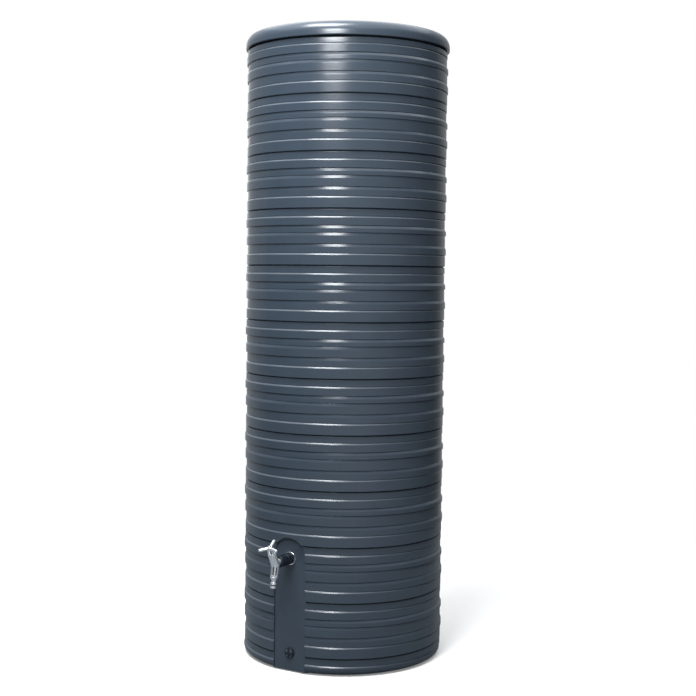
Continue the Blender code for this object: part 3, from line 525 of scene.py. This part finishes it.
def vary_colour(material, noise, first, second):
    """Runs the base colour between two near tones along a noise."""
    blend = add_node(
        material, "ShaderNodeMix", settings={"data_type": "RGBA"}, links=[("Factor", noise, "Fac")]
    )
    blend.inputs[6].default_value = hex_colour(first)
    blend.inputs[7].default_value = hex_colour(second)
    feed(material, "Base Color", blend, 2)


# Glass-filled polypropylene from a spark-eroded mould: near black, satin, with a fine even grain.
moulded_polypropylene = new_material("moulded_polypropylene", "#0F1721", 0.38)
spark_grain = mottle(moulded_polypropylene, 1400.0, (0.32, 0.46), 0.00012)
vary_colour(moulded_polypropylene, spark_grain, "#0C141D", "#141D28")

# EPDM rubber: black, matt, slightly dusty where it was pressed.
epdm_rubber = new_material("epdm_rubber", "#1A1A1B", 0.75)
bloom = mottle(epdm_rubber, 900.0, (0.68, 0.85), 0.0001)
vary_colour(epdm_rubber, bloom, "#161617", "#232324")

# Turned brass, a little dulled by water.
turned_brass = new_material("turned_brass", "#B08B48", 0.3, 1.0)
tarnish = mottle(turned_brass, 300.0, (0.24, 0.42), 0.00004)
vary_colour(turned_brass, tarnish, "#B89350", "#9C7A40")


def dress(node, material):
    """Gives a solid that stays as it is its finished material."""
    for slot in nodes[node].material_slots:
        slot.material = material


def rounded(corners, closed=True, steps=4):
    """Outline points from corners (radius, level, rounding)."""
    outline = []
    for index, (radius, level, rounding) in enumerate(corners):
        corner = Vector((radius, level))
        at_end = not closed and index in (0, len(corners) - 1)
        if rounding == 0.0 or at_end:
            outline.append((radius, level))
            continue
        before = (Vector(corners[index - 1][:2]) - corner).normalized() * rounding
        after = (Vector(corners[(index + 1) % len(corners)][:2]) - corner).normalized() * rounding
        for step in range(steps + 1):
            share = step / steps
            point = corner + before * (1.0 - share) ** 2 + after * share ** 2
            outline.append(tuple(point))
    return outline


def turned(name, outline, sides, hollow=True):
    """A turned piece on the Z axis. A solid one starts and ends with a flat face."""
    at = start_ring(name, *outline[0], sides)
    if not hollow:
        bpy.ops.mesh.edge_face_add()
    for radius, level in outline[1:]:
        at = grow(at, radius, level)
    if hollow:
        grow(at, *outline[0])
        bpy.ops.mesh.select_all(action="SELECT")
        bpy.ops.mesh.remove_doubles(threshold=WELD / 10.0)
    bpy.ops.mesh.select_all(action="SELECT")
    bpy.ops.mesh.normals_make_consistent(inside=False)
    bpy.ops.object.mode_set(mode="OBJECT")
    return bpy.context.object


def bevelled_box(name, low, high, edge):
    """A box between two corners, with rounded edges."""
    size = [top - bottom for bottom, top in zip(low, high)]
    middle = [(top + bottom) / 2.0 for bottom, top in zip(low, high)]
    bpy.ops.mesh.primitive_cube_add(size=1.0)
    bar = bpy.context.object
    bar.name = name
    bpy.ops.object.mode_set(mode="EDIT")
    bpy.ops.transform.resize(value=size)
    bpy.ops.transform.translate(value=middle)
    bpy.ops.mesh.bevel(offset=edge, segments=3, affect="EDGES")
    bpy.ops.object.mode_set(mode="OBJECT")
    return bar


def put(piece, place):
    """Moves a piece drawn on the Z axis to its place and makes it the only one selected."""
    bpy.ops.object.select_all(action="DESELECT")
    bpy.context.view_layer.objects.active = piece
    piece.select_set(True)
    piece.matrix_world = place @ piece.matrix_world
    bpy.ops.object.transform_apply(location=True, rotation=True, scale=True)


def axis_at(point, tilt):
    """The place of a piece whose own Z axis starts at a point and is tilted about X."""
    return Matrix.Translation(point) @ Matrix.Rotation(tilt, 4, "X")


dress("drain_insert", turned_brass)
dress("drain_seal", epdm_rubber)
drain_axis = axis_at((0.0, -PANEL_DISTANCE, DRAIN_HEIGHT), math.pi / 2.0)
flange_bottom = DRAIN_SEAL + 2.0 * GAP
flange_top = flange_bottom + PLUG_FLANGE
plug = turned(
    "screw_plug",
    rounded([
        (DRAIN_HOLLOW - HOLLOW_DRAFT, 0.0, 0.0),
        (DRAIN_HOLLOW, -DRAIN_SHANK, 0.0),
        (DRAIN_THREAD, -DRAIN_SHANK, 0.0008),
        (DRAIN_THREAD, flange_bottom, 0.0),
        (PLUG_FLANGE_RADIUS, flange_bottom, 0.0005),
        (PLUG_FLANGE_RADIUS, flange_top, 0.0013),
        (PLUG_FLANGE_RADIUS - PLUG_RIM, flange_top, 0.0003),
        (PLUG_FLANGE_RADIUS - PLUG_RIM - PLUG_RIM_SLOPE, flange_top - POCKET_DEPTH, 0.0004),
        (DRAIN_HOLLOW / 2.0, flange_top - POCKET_DEPTH, 0.0),
    ], closed=False),
    64, hollow=False,
)
length, width, height = CROSS_SIZE
for index in range(2):
    bar = bevelled_box(
        f"bar_{index}", (-length / 2.0, -width / 2.0, flange_top - height / 2.0),
        (length / 2.0, width / 2.0, flange_top + height), CROSS_EDGE,
    )
    put(bar, Matrix.Rotation(index * math.pi / 2.0, 4, "Z"))
    combine(plug, bar, "UNION")
put(plug, drain_axis)
plug = finish_piece(moulded_polypropylene, "tank", ["drain_plug"])

# Dust splashed up from the ground stays in the four pockets between the arms of the cross.
dusty_polypropylene = new_material("dusty_polypropylene", "#55616D", 0.6)
dust = mottle(dusty_polypropylene, 800.0, (0.5, 0.7), 0.0001)
vary_colour(dusty_polypropylene, dust, "#5B6773", "#4B5661")
plug.data.materials.append(dusty_polypropylene)
to_drain = drain_axis.inverted()
pocket_radius = PLUG_FLANGE_RADIUS - PLUG_RIM - POCKET_DEPTH / 8.0
pocket_level = flange_top - POCKET_DEPTH * 5.0 / 8.0
for face in plug.data.polygons:
    middle = to_drain @ face.center
    if middle.xy.length < pocket_radius and 0.0 < middle.z < pocket_level:
        face.material_index = 1


# Connector. A black threaded pipe goes through the panel, with a flange and a washer inside. A
# chrome-plated ring and a ribbed nut clamp it, and a second ribbed nut holds the tap on its end.
CONNECTOR_RADIUS = 0.0132
TAIL_RADIUS = 0.0100
RING_RADIUS = 0.0195
RING_THICKNESS = 0.004
RING_ROUND = 0.0017
NUT_RADIUS = 0.0166
NUT_ROUND = 0.0012
NUT_RIB = 0.0009
NUT_RIBS = 8
NUT_SIDES = 128
RIB_SHARPNESS = 10
RING_SIDES = 96
RIB_START = 0.0012               # bare length at each end of a nut
RIB_END = 0.0030
SLACK = 0.0001                   # so that the rings at both cuts count as ribbed
CLAMP_NUT = (0.0046, 0.0286)
UNION_NUT = (0.0295, 0.0610)
UNION_LIP = 0.0046

# Bright chrome over polished zinc: smooth enough to mirror the studio, with faint polishing haze.
bright_chrome = new_material("bright_chrome", "#E4E6E8", 0.08, 1.0)
haze = mottle(bright_chrome, 60.0, (0.05, 0.12), 0.00001)
vary_colour(bright_chrome, haze, "#E8EAEC", "#DCDEE1")

inlet_axis = axis_at((0.0, -PANEL_DISTANCE, TAP_HEIGHT), math.pi / 2.0)
dress("tank_connector", moulded_polypropylene)
dress("connector_seal", epdm_rubber)
dress("tap_seal", epdm_rubber)
bore = CONNECTOR_RADIUS + GAP
chrome_ring = turned(
    "chrome_ring",
    rounded([
        (bore, GAP, 0.0),
        (RING_RADIUS, GAP, 0.0003),
        (RING_RADIUS, GAP + RING_THICKNESS, RING_ROUND),
        (bore, GAP + RING_THICKNESS, 0.0004),
    ]),
    RING_SIDES,
)
put(chrome_ring, inlet_axis)
finish_piece(bright_chrome, "tank", ["connector_ring"])


def ribbed_nut(name, ends, lip, node):
    """A nut round the connector, with rounded grip ribs along it."""
    start, end = ends
    corners = [
        (bore, start, 0.0004),
        (NUT_RADIUS, start, 0.0005),
        (NUT_RADIUS, end, NUT_ROUND),
    ]
    if lip:
        lip_bore = TAIL_RADIUS + GAP
        corners += [(lip_bore, end, 0.0006), (lip_bore, end - lip, 0.0), (bore, end - lip, 0.0)]
    else:
        corners.append((bore, end, 0.0004))
    nut = turned(name, rounded(corners), NUT_SIDES)
    bpy.ops.object.mode_set(mode="EDIT")
    for level in (start + RIB_START, end - RIB_END):
        bpy.ops.mesh.select_all(action="SELECT")
        bpy.ops.mesh.bisect(plane_co=(0.0, 0.0, level), plane_no=(0.0, 0.0, 1.0))
    bpy.ops.object.mode_set(mode="OBJECT")
    for vertex in nut.data.vertices:
        at_rim = vertex.co.xy.length > NUT_RADIUS - SLACK
        if at_rim and start + RIB_START - SLACK < vertex.co.z < end - RIB_END + SLACK:
            wave = math.cos(NUT_RIBS * math.atan2(vertex.co.x, vertex.co.y)) * 0.5 + 0.5
            reach = 1.0 + NUT_RIB / NUT_RADIUS * wave ** RIB_SHARPNESS
            vertex.co.x *= reach
            vertex.co.y *= reach
    put(nut, inlet_axis)
    finish_piece(moulded_polypropylene, "tank", [node])


ribbed_nut("clamping_nut", CLAMP_NUT, 0.0, "connector_nut")
ribbed_nut("coupling_nut", UNION_NUT, UNION_LIP, "union_nut")


# Tap body. The real one is a zinc die casting with a satin chrome finish: a short tail to the
# inlet, a bend, a chamber that leans back for the valve plug, and a fluted spout.
TAP_REACH = 0.076
BEND_DROP = 0.006
STEM_LEAN = math.radians(27.0)
SPOUT_LEAN = math.radians(10.0)
TAIL_START = 0.0523
TAIL_FLANGE = 0.0033
TAIL_BORE = 0.0070
CHAMBER_RADIUS = 0.0118
CHAMBER_BORE = 0.0078
CHAMBER_DEPTH = 0.0030
CHAMBER_TOP = 0.0380
BEND_RADIUS = 0.0124
SPOUT_TOP_RADIUS = 0.0122
SPOUT_END_RADIUS = 0.0112
SPOUT_LENGTH = 0.0343
SPOUT_BORE = 0.0055
SPOUT_THREAD = 0.0070
SPOUT_THREAD_DEPTH = 0.0111
FLUTES = 8
FLUTE_RADIUS = 0.0022
FLUTE_DEPTH = 0.0016
FLUTE_START = math.radians(33.0)
FLUTE_MARGIN = 0.0040
FLUTE_SHADE_START = 0.0003              # how deep in a flute the painted shade starts
COLLAR_RADIUS = 0.0131
COLLAR = (0.0004, 0.0020)
FLUTE_TIP = 0.3                  # radius at a flute's ends, as a share of its own
BORE_PAST = 0.003                # how far a bore's cutter runs past the end of its hole
CAST_VOXEL = 0.00036

# Satin chrome on a zinc casting: a grey mirror blurred by the blasted surface under it, with
# slightly uneven gloss. Its finest pits scatter about a quarter of the light, as paint would.
satin_chrome = new_material("satin_chrome", "#E2E5E9", 0.30, 0.76)
blasting = mottle(satin_chrome, 700.0, (0.24, 0.35), 0.00001)
vary_colour(satin_chrome, blasting, "#E7E9ED", "#DADDE1")

bend_point = (0.0, -PANEL_DISTANCE - TAP_REACH, TAP_HEIGHT - BEND_DROP)
stem_axis = axis_at(bend_point, STEM_LEAN)
spout_axis = axis_at(bend_point, math.pi - SPOUT_LEAN)


def solid_rod(name, outline, place, sides=64):
    """A solid turned piece, moved to its axis."""
    piece = turned(name, outline, sides, hollow=False)
    put(piece, place)
    return piece


def cast_surface(piece, voxel, rounds):
    """Melts the joined forms together as a casting, with small fillets where they meet."""
    bpy.ops.object.select_all(action="DESELECT")
    bpy.context.view_layer.objects.active = piece
    piece.select_set(True)
    apply_modifier(piece, "REMESH", mode="VOXEL", voxel_size=voxel)
    apply_modifier(piece, "SMOOTH", factor=0.5, iterations=rounds)


tap = solid_rod(
    "cast_tap",
    rounded([
        (CHAMBER_RADIUS, -CHAMBER_DEPTH, 0.0),
        (CHAMBER_RADIUS, CHAMBER_TOP, 0.0009),
        (CHAMBER_BORE, CHAMBER_TOP, 0.0),
    ], closed=False),
    stem_axis,
)
spout = solid_rod(
    "spout",
    rounded([
        (SPOUT_TOP_RADIUS, -CHAMBER_DEPTH, 0.0),
        (SPOUT_TOP_RADIUS, COLLAR[0], 0.0),
        (COLLAR_RADIUS, COLLAR[0], 0.0005),
        (COLLAR_RADIUS, COLLAR[1], 0.0005),
        (SPOUT_TOP_RADIUS, COLLAR[1], 0.0),
        (SPOUT_END_RADIUS, SPOUT_LENGTH, 0.0009),
        (SPOUT_THREAD, SPOUT_LENGTH, 0.0),
    ], closed=False),
    spout_axis,
)
bpy.ops.mesh.primitive_uv_sphere_add(
    segments=64, ring_count=32, radius=BEND_RADIUS, location=bend_point
)
bend = bpy.context.object
tail = solid_rod(
    "tail",
    [
        (CONNECTOR_RADIUS - GAP, TAIL_START),
        (CONNECTOR_RADIUS - GAP, TAIL_START + TAIL_FLANGE),
        (TAIL_RADIUS, TAIL_START + TAIL_FLANGE),
        (TAIL_RADIUS, TAP_REACH - CHAMBER_DEPTH),
    ],
    inlet_axis,
)
for form in (spout, bend, tail):
    combine(tap, form, "UNION")
for name, radius, start, end, place in (
    ("chamber_bore", CHAMBER_BORE, -CHAMBER_DEPTH, CHAMBER_TOP + BORE_PAST, stem_axis),
    ("waterway", SPOUT_BORE, -CHAMBER_DEPTH, SPOUT_LENGTH, spout_axis),
    (
        "nipple_thread", SPOUT_THREAD, SPOUT_LENGTH - SPOUT_THREAD_DEPTH, SPOUT_LENGTH + BORE_PAST,
        spout_axis,
    ),
    ("tail_bore", TAIL_BORE, TAIL_START - BORE_PAST, TAP_REACH, inlet_axis),
):
    combine(tap, solid_rod(name, [(radius, start), (radius, end)], place), "DIFFERENCE")
flute_distance = (SPOUT_TOP_RADIUS + SPOUT_END_RADIUS) / 2.0 + FLUTE_RADIUS - FLUTE_DEPTH
flute_lean = -math.atan((SPOUT_TOP_RADIUS - SPOUT_END_RADIUS) / SPOUT_LENGTH)
for index in range(FLUTES):
    angle = FLUTE_START - math.pi / 2.0 + math.tau * index / FLUTES
    half = SPOUT_LENGTH / 2.0 - FLUTE_MARGIN
    ends = [
        (FLUTE_RADIUS * FLUTE_TIP, -half),
        (FLUTE_RADIUS, -half + FLUTE_RADIUS),
        (FLUTE_RADIUS, half - FLUTE_RADIUS),
        (FLUTE_RADIUS * FLUTE_TIP, half),
    ]
    place = (
        spout_axis @ Matrix.Rotation(angle, 4, "Z")
        @ Matrix.Translation((flute_distance, 0.0, SPOUT_LENGTH / 2.0))
        @ Matrix.Rotation(flute_lean, 4, "Y")
    )
    combine(tap, solid_rod(f"flute_{index}", ends, place, 24), "DIFFERENCE")
cast_surface(tap, CAST_VOXEL, 2)
tap = finish_piece(satin_chrome, "tank", ["tap_body"], angle=60.0)

# The hollows of the flutes are painted a darker, duller metal, as painted shade.
flute_painted_shade = new_material("flute_painted_shade", "#4A4F56", 0.5, 1.0)
flute_shade_mottle = mottle(flute_painted_shade, 900.0, (0.42, 0.6), 0.00002)
vary_colour(flute_painted_shade, flute_shade_mottle, "#3E434A", "#565B62")
tap.data.materials.append(flute_painted_shade)
to_spout = spout_axis.inverted()
waterway = SPOUT_THREAD + 0.001
# Painted shade: faces in the flute hollows get the darker metal.
for face in tap.data.polygons:
    middle = to_spout @ face.center
    along_flute = FLUTE_MARGIN < middle.z < SPOUT_LENGTH - FLUTE_MARGIN
    skin = mix(SPOUT_TOP_RADIUS, SPOUT_END_RADIUS, middle.z / SPOUT_LENGTH)
    if along_flute and waterway < middle.xy.length < skin - FLUTE_SHADE_START:
        face.material_index = 1


# Valve. The plug is moulded in black plastic, with a rubber ring at its port and another round its
# spindle. The bonnet over it is turned, plated as the tap is, and screwed into the chamber.
PLUG_RADIUS = 0.0075
PLUG_TOP = 0.0311
SPINDLE_RADIUS = 0.0040
O_RING = 0.0020
BONNET_RADIUS = 0.0112
BONNET_FLANGE = 0.0047
dress("valve_plug", moulded_polypropylene)
dress("port_seal", epdm_rubber)
dress("plug_o_ring", epdm_rubber)
flange_bottom = CHAMBER_TOP + GAP
bonnet_top = flange_bottom + BONNET_FLANGE
pocket = SPINDLE_RADIUS + O_RING + 2.0 * GAP
pocket_top = PLUG_TOP + O_RING + 2.0 * GAP
bonnet = turned(
    "bonnet",
    rounded([
        (BONNET_RADIUS, bonnet_top, 0.0011),
        (BONNET_RADIUS, flange_bottom, 0.0005),
        (PLUG_RADIUS, flange_bottom, 0.0),
        (PLUG_RADIUS, PLUG_TOP + GAP, 0.0003),
        (pocket, PLUG_TOP + GAP, 0.0),
        (pocket, pocket_top, 0.0),
        (SPINDLE_RADIUS + GAP, pocket_top, 0.0),
        (SPINDLE_RADIUS + GAP, bonnet_top, 0.0003),
    ]),
    RING_SIDES,
)
put(bonnet, stem_axis)
finish_piece(satin_chrome, "tank", ["bonnet_nut"])


# Handle. A small star with three round arms, cast with its hub and three short legs that reach
# down over the bonnet, and plated as the tap is. A cross-recessed steel screw holds it.
HANDLE_ARMS = 3
HANDLE_TURN = math.radians(8.0)
HUB_RADIUS = 0.0068
HUB_BOTTOM = 0.0525
HUB_TOP = 0.0645
ARM_LENGTH = 0.0294
ARM_RISE = 0.0015
ARM_RADIUS = 0.0046
ARM_LEVEL = 0.0598
ARM_ROOT = 0.92                  # radius at the hub, as a share of the arm's own
ARM_FULL = 0.6                   # where the arm has its full radius, as a share of its length
ARM_TIP_STEPS = 9
LEG_INNER = 0.0058
LEG_OUTER = 0.0102
LEG_WIDTH = 0.0062
LEG_EDGE = 0.0012
SPINDLE_TOP = 0.0607
SCREW_RADIUS = 0.0020
SCREW_DEPTH = 0.0120
SCREW_HEAD_RADIUS = 0.0040
SCREW_HEAD = 0.0024
SCREW_DOME = 0.0022              # width of the round edge of the screw's head
SCREW_POINT = (0.0006, 0.0008)   # width and length of the chamfer at its end
SCREW_RECESS = (0.0044, 0.0008, 0.0014)
HANDLE_VOXEL = 0.00034
handle = solid_rod(
    "star_handle",
    rounded([
        (HUB_RADIUS - 0.001, HUB_BOTTOM, 0.0),
        (HUB_RADIUS, HUB_BOTTOM, 0.0008),
        (HUB_RADIUS, HUB_TOP, 0.0012),
        (HUB_RADIUS - 0.002, HUB_TOP, 0.0),
    ], closed=False),
    stem_axis,
)
arm_slope = math.atan(ARM_RISE / ARM_LENGTH)
for index in range(HANDLE_ARMS):
    direction = HANDLE_TURN + math.pi / 2.0 + math.tau * index / HANDLE_ARMS
    around = stem_axis @ Matrix.Rotation(direction, 4, "Z")
    along = (
        around @ Matrix.Translation((0.0, 0.0, ARM_LEVEL))
        @ Matrix.Rotation(math.pi / 2.0 - arm_slope, 4, "Y")
    )
    reach = math.hypot(ARM_LENGTH, ARM_RISE)
    outline = [
        (ARM_RADIUS * ARM_ROOT, 0.0),
        (ARM_RADIUS, reach * ARM_FULL),
        (ARM_RADIUS, reach),
    ]
    for step in range(1, ARM_TIP_STEPS):
        angle = math.pi / 2.0 * step / ARM_TIP_STEPS
        outline.append((ARM_RADIUS * math.cos(angle), reach + ARM_RADIUS * math.sin(angle)))
    combine(handle, solid_rod(f"arm_{index}", outline, along, 48), "UNION")
    leg = bevelled_box(
        f"leg_{index}", (LEG_INNER, -LEG_WIDTH / 2.0, bonnet_top + GAP),
        (LEG_OUTER, LEG_WIDTH / 2.0, ARM_LEVEL), LEG_EDGE,
    )
    put(leg, around)
    combine(handle, leg, "UNION")
for name, radius, low, high in (
    ("socket", SPINDLE_RADIUS + GAP, bonnet_top, SPINDLE_TOP + GAP),
    ("screw_hole", SCREW_RADIUS + GAP, SPINDLE_TOP - 0.001, HUB_TOP + ARM_RISE),
):
    combine(handle, solid_rod(name, [(radius, low), (radius, high)], stem_axis, 48), "DIFFERENCE")
cast_surface(handle, HANDLE_VOXEL, 2)
finish_piece(satin_chrome, "handle", ["tap_handle"], angle=60.0)

# Zinc-plated steel, brighter than the casting round it.
plated_steel = new_material("plated_steel", "#B4B8BD", 0.3, 1.0)
plating = mottle(plated_steel, 500.0, (0.24, 0.38), 0.00003)
vary_colour(plated_steel, plating, "#BABEC3", "#A9AEB4")
screw_end = SPINDLE_TOP - SCREW_DEPTH
head_bottom = HUB_TOP + GAP
head_top = head_bottom + SCREW_HEAD
screw = solid_rod(
    "cross_screw",
    rounded([
        (SCREW_RADIUS - SCREW_POINT[0], screw_end, 0.0),
        (SCREW_RADIUS, screw_end + SCREW_POINT[1], 0.0),
        (SCREW_RADIUS, head_bottom, 0.0),
        (SCREW_HEAD_RADIUS, head_bottom, 0.0002),
        (SCREW_HEAD_RADIUS, head_top, 0.0018),
        (SCREW_HEAD_RADIUS - SCREW_DOME, head_top, 0.0),
    ], closed=False),
    Matrix(), 48,
)
length, width, depth = SCREW_RECESS
for index in range(2):
    blade = bevelled_box(
        f"blade_{index}", (-length / 2.0, -width / 2.0, head_top - depth),
        (length / 2.0, width / 2.0, head_top + depth), 0.0001,
    )
    put(blade, Matrix.Rotation(index * math.pi / 2.0, 4, "Z"))
    combine(screw, blade, "DIFFERENCE")
put(screw, stem_axis)
finish_piece(plated_steel, "handle", ["handle_screw"])


# Hose nipple. A plated, turned nipple screws into the spout on a flat washer. Its cone, neck,
# collar and grooved end take a push-on hose coupling, sealed by the O-ring in the groove.
NIPPLE_BORE = 0.0045
NIPPLE_SHOULDER = 0.0014
NIPPLE_CONE = 0.0094
NIPPLE_NECK_RADIUS = 0.0062
NIPPLE_NECK = 0.0055
NIPPLE_COLLAR_RADIUS = 0.0083
NIPPLE_COLLAR = 0.0060
NIPPLE_CHAMFER = 0.0008
NIPPLE_GROOVE_RADIUS = 0.0060
NIPPLE_GROOVE = 0.0045
NIPPLE_END = 0.0060
NIPPLE_WASHER = 0.0020
dress("nipple_washer", epdm_rubber)
start = SPOUT_LENGTH + GAP
cone_end = start + NIPPLE_CONE
collar_start = cone_end + NIPPLE_NECK
groove_start = collar_start + NIPPLE_COLLAR
groove_end = groove_start + NIPPLE_GROOVE
end = groove_end + NIPPLE_END
thread = SPOUT_THREAD - GAP
thread_start = SPOUT_LENGTH - SPOUT_THREAD_DEPTH + NIPPLE_WASHER + 2.0 * GAP
nipple = turned(
    "nipple",
    rounded([
        (NIPPLE_BORE, thread_start, 0.0),
        (thread, thread_start, 0.0005),
        (thread, start, 0.0),
        (SPOUT_END_RADIUS, start, 0.0004),
        (SPOUT_END_RADIUS, start + NIPPLE_SHOULDER, 0.0006),
        (NIPPLE_NECK_RADIUS, cone_end, 0.0012),
        (NIPPLE_NECK_RADIUS, collar_start, 0.0004),
        (NIPPLE_COLLAR_RADIUS, collar_start + NIPPLE_CHAMFER, 0.0006),
        (NIPPLE_COLLAR_RADIUS, groove_start, 0.0004),
        (NIPPLE_GROOVE_RADIUS, groove_start, 0.0003),
        (NIPPLE_GROOVE_RADIUS, groove_end, 0.0003),
        (NIPPLE_COLLAR_RADIUS, groove_end, 0.0004),
        (NIPPLE_COLLAR_RADIUS, end, 0.0012),
        (NIPPLE_BORE, end, 0.0004),
    ]),
    RING_SIDES,
)
put(nipple, spout_axis)
finish_piece(satin_chrome, "tank", ["hose_nipple"], angle=30.0)
bpy.ops.mesh.primitive_torus_add(
    major_segments=RING_SIDES, minor_segments=20, minor_radius=O_RING / 2.0,
    major_radius=NIPPLE_GROOVE_RADIUS + GAP + O_RING / 2.0,
    location=(0.0, 0.0, groove_start + NIPPLE_GROOVE / 2.0),
)
seal = bpy.context.object
seal.name = "groove_o_ring"
put(seal, spout_axis)
finish_piece(epdm_rubber, "tank", ["nipple_o_ring"])


# Studio. A round pale floor runs out into a plain white background. One large soft box hangs over
# the front of the tank and a smaller one stands before it, between the panel and the camera. A
# weak lamp behind the left side and a wide ceiling fill the shadows.
AZIMUTH = math.radians(31.5)     # where the camera stands, counted from in front of the panel
FLOOR_RADIUS = 2.2
FLOOR_GLOW = 0.2                 # lifts the lit floor to the white of the background
SURROUND = 0.30                  # brightness of the room as it lights dull surfaces
LAMP_COLOUR = (0.97, 0.985, 1.0)
# Brightness of the room in a reflection, from in front of the tank (-1) to behind and over it (1).
ROOM = (
    (-1.0, 0.95), (-0.4, 0.58), (0.0, 0.08), (0.10, 0.08), (0.25, 0.11), (0.40, 0.24), (0.50, 0.40),
    (0.65, 0.45), (0.80, 0.60), (1.0, 1.0),
)
ROOM_TURN = AZIMUTH + math.radians(15.0)
ROOM_ACROSS, ROOM_RISE = 0.77, 0.64      # across and up, towards the room's bright side
bpy.ops.mesh.primitive_circle_add(vertices=128, radius=FLOOR_RADIUS, fill_type="NGON")
floor = bpy.context.object
floor.name = "floor"

# Matt white paint. What the floor throws back at the tank and shows in it is kept darker, as the
# ground round it would be.
floor_paint = new_material("white_floor", "#E6E6E6", 0.9)
ray = add_node(floor_paint, "ShaderNodeLightPath")
seen = add_node(
    floor_paint, "ShaderNodeMath", settings={"operation": "MAXIMUM"},
    links=[(0, ray, "Is Camera Ray"), (1, ray, "Is Transmission Ray")],
)
glow = add_node(
    floor_paint, "ShaderNodeMath", settings={"operation": "MULTIPLY"}, values={1: FLOOR_GLOW},
    links=[(0, seen, 0)],
)
floor_shader = floor_paint.node_tree.nodes["Principled BSDF"]
floor_shader.inputs["Emission Color"].default_value = hex_colour("#FFFFFF")
feed(floor_paint, "Emission Strength", glow, 0)
paint = add_node(
    floor_paint, "ShaderNodeMix", settings={"data_type": "RGBA"}, links=[("Factor", seen, 0)]
)
paint.inputs[6].default_value = hex_colour("#6E7477")
paint.inputs[7].default_value = hex_colour("#E6E6E6")
feed(floor_paint, "Base Color", paint, 2)
floor.data.materials.append(floor_paint)

# The room. The camera sees plain white, dull surfaces are lit evenly, and glossy ones mirror a room
# that is bright in front, dark at the sides and light again behind and overhead.
world = bpy.data.worlds.new("studio")
bpy.context.scene.world = world
world.use_nodes = True
sky = world.node_tree.nodes["Background"]
ray = add_node(world, "ShaderNodeLightPath")
sight = add_node(world, "ShaderNodeTexCoord")
behind = add_node(
    world, "ShaderNodeVectorMath", settings={"operation": "DOT_PRODUCT"},
    values={1: (-ROOM_ACROSS * math.sin(ROOM_TURN), ROOM_ACROSS * math.cos(ROOM_TURN), ROOM_RISE)},
    links=[(0, sight, "Generated")],
)
room = add_node(world, "ShaderNodeFloatCurve")
curve = room.mapping.curves[0]
for place, brightness in ROOM:
    if place in (-1.0, 1.0):
        curve.points[0 if place < 0.0 else 1].location = (place * 0.5 + 0.5, brightness)
    else:
        curve.points.new(place * 0.5 + 0.5, brightness)
room.mapping.update()
along = add_node(
    world, "ShaderNodeMapRange", values={"From Min": -1.0}, links=[("Value", behind, "Value")]
)
world.node_tree.links.new(along.outputs[0], room.inputs["Value"])
mirrored = add_node(
    world, "ShaderNodeMix", settings={"data_type": "FLOAT"}, values={"A": SURROUND},
    links=[("Factor", ray, "Is Glossy Ray"), ("B", room, "Value")],
)
seen = add_node(
    world, "ShaderNodeMath", settings={"operation": "MAXIMUM"},
    links=[(0, ray, "Is Camera Ray"), (1, mirrored, 0)],
)
level_of_light = add_node(
    world, "ShaderNodeMath", settings={"operation": "MAXIMUM"},
    links=[(0, seen, 0), (1, ray, "Is Transmission Ray")],
)
tint = add_node(
    world, "ShaderNodeMix", settings={"data_type": "RGBA"},
    links=[("Factor", ray, "Is Camera Ray")],
)
tint.inputs[6].default_value = hex_colour("#F8FDFF")
tint.inputs[7].default_value = hex_colour("#FFFFFF")
world.node_tree.links.new(tint.outputs[2], sky.inputs["Color"])
world.node_tree.links.new(level_of_light.outputs[0], sky.inputs["Strength"])


def soft_box(name, azimuth, distance, height, width, depth, radiance, aim):
    """A rectangular lamp beside the tank, turned to the height of its axis that aim gives.

    Azimuth 0 is in front of the tap panel.
    """
    light = bpy.data.lights.new(name, "AREA")
    light.shape = "RECTANGLE"
    light.size = width
    light.size_y = depth
    light.energy = radiance * math.pi * width * depth
    light.color = LAMP_COLOUR
    lamp = bpy.data.objects.new(name, light)
    bpy.context.scene.collection.objects.link(lamp)
    turn = math.radians(azimuth)
    lamp.location = (distance * math.sin(turn), -distance * math.cos(turn), height)
    direction = lamp.location - Vector((0.0, 0.0, aim))
    lamp.rotation_euler = direction.to_track_quat("Z", "Y").to_euler()


soft_box("key_box", 17.0, 2.2, 2.45, 0.8, 0.6, 32.0, 1.1)
soft_box("top_box", -5.0, 1.60, 4.6, 1.8, 1.4, 25.0, 1.0)
soft_box("left_box", -125.0, 2.6, 1.8, 0.3, 1.6, 1.0, 1.3)
soft_box("ceiling", 0.0, 0.01, 5.0, 8.0, 8.0, 1.6, 0.0)

# Camera. It stands about four metres from the tank, to the right of the panel, a little over half
# way up, and looks slightly down.
TILT = math.radians(3.266)
ROLL = math.radians(0.564)
CAMERA_DISTANCE = 3.9827
CAMERA_HEIGHT = 1.1553
camera_data = bpy.data.cameras.new("camera")
camera = bpy.data.objects.new("camera", camera_data)
bpy.context.scene.collection.objects.link(camera)
camera.location = (
    CAMERA_DISTANCE * math.sin(AZIMUTH), -CAMERA_DISTANCE * math.cos(AZIMUTH), CAMERA_HEIGHT
)
turn = Matrix.Rotation(AZIMUTH, 3, "Z") @ Matrix.Rotation(math.pi / 2.0 - TILT, 3, "X")
camera.rotation_euler = (turn @ Matrix.Rotation(ROLL, 3, "Z")).to_euler()
camera_data.sensor_width = 36.0
camera_data.lens = 67.62
camera_data.shift_x = 0.00417
bpy.context.scene.camera = camera
bpy.context.scene.view_settings.view_transform = "Standard"
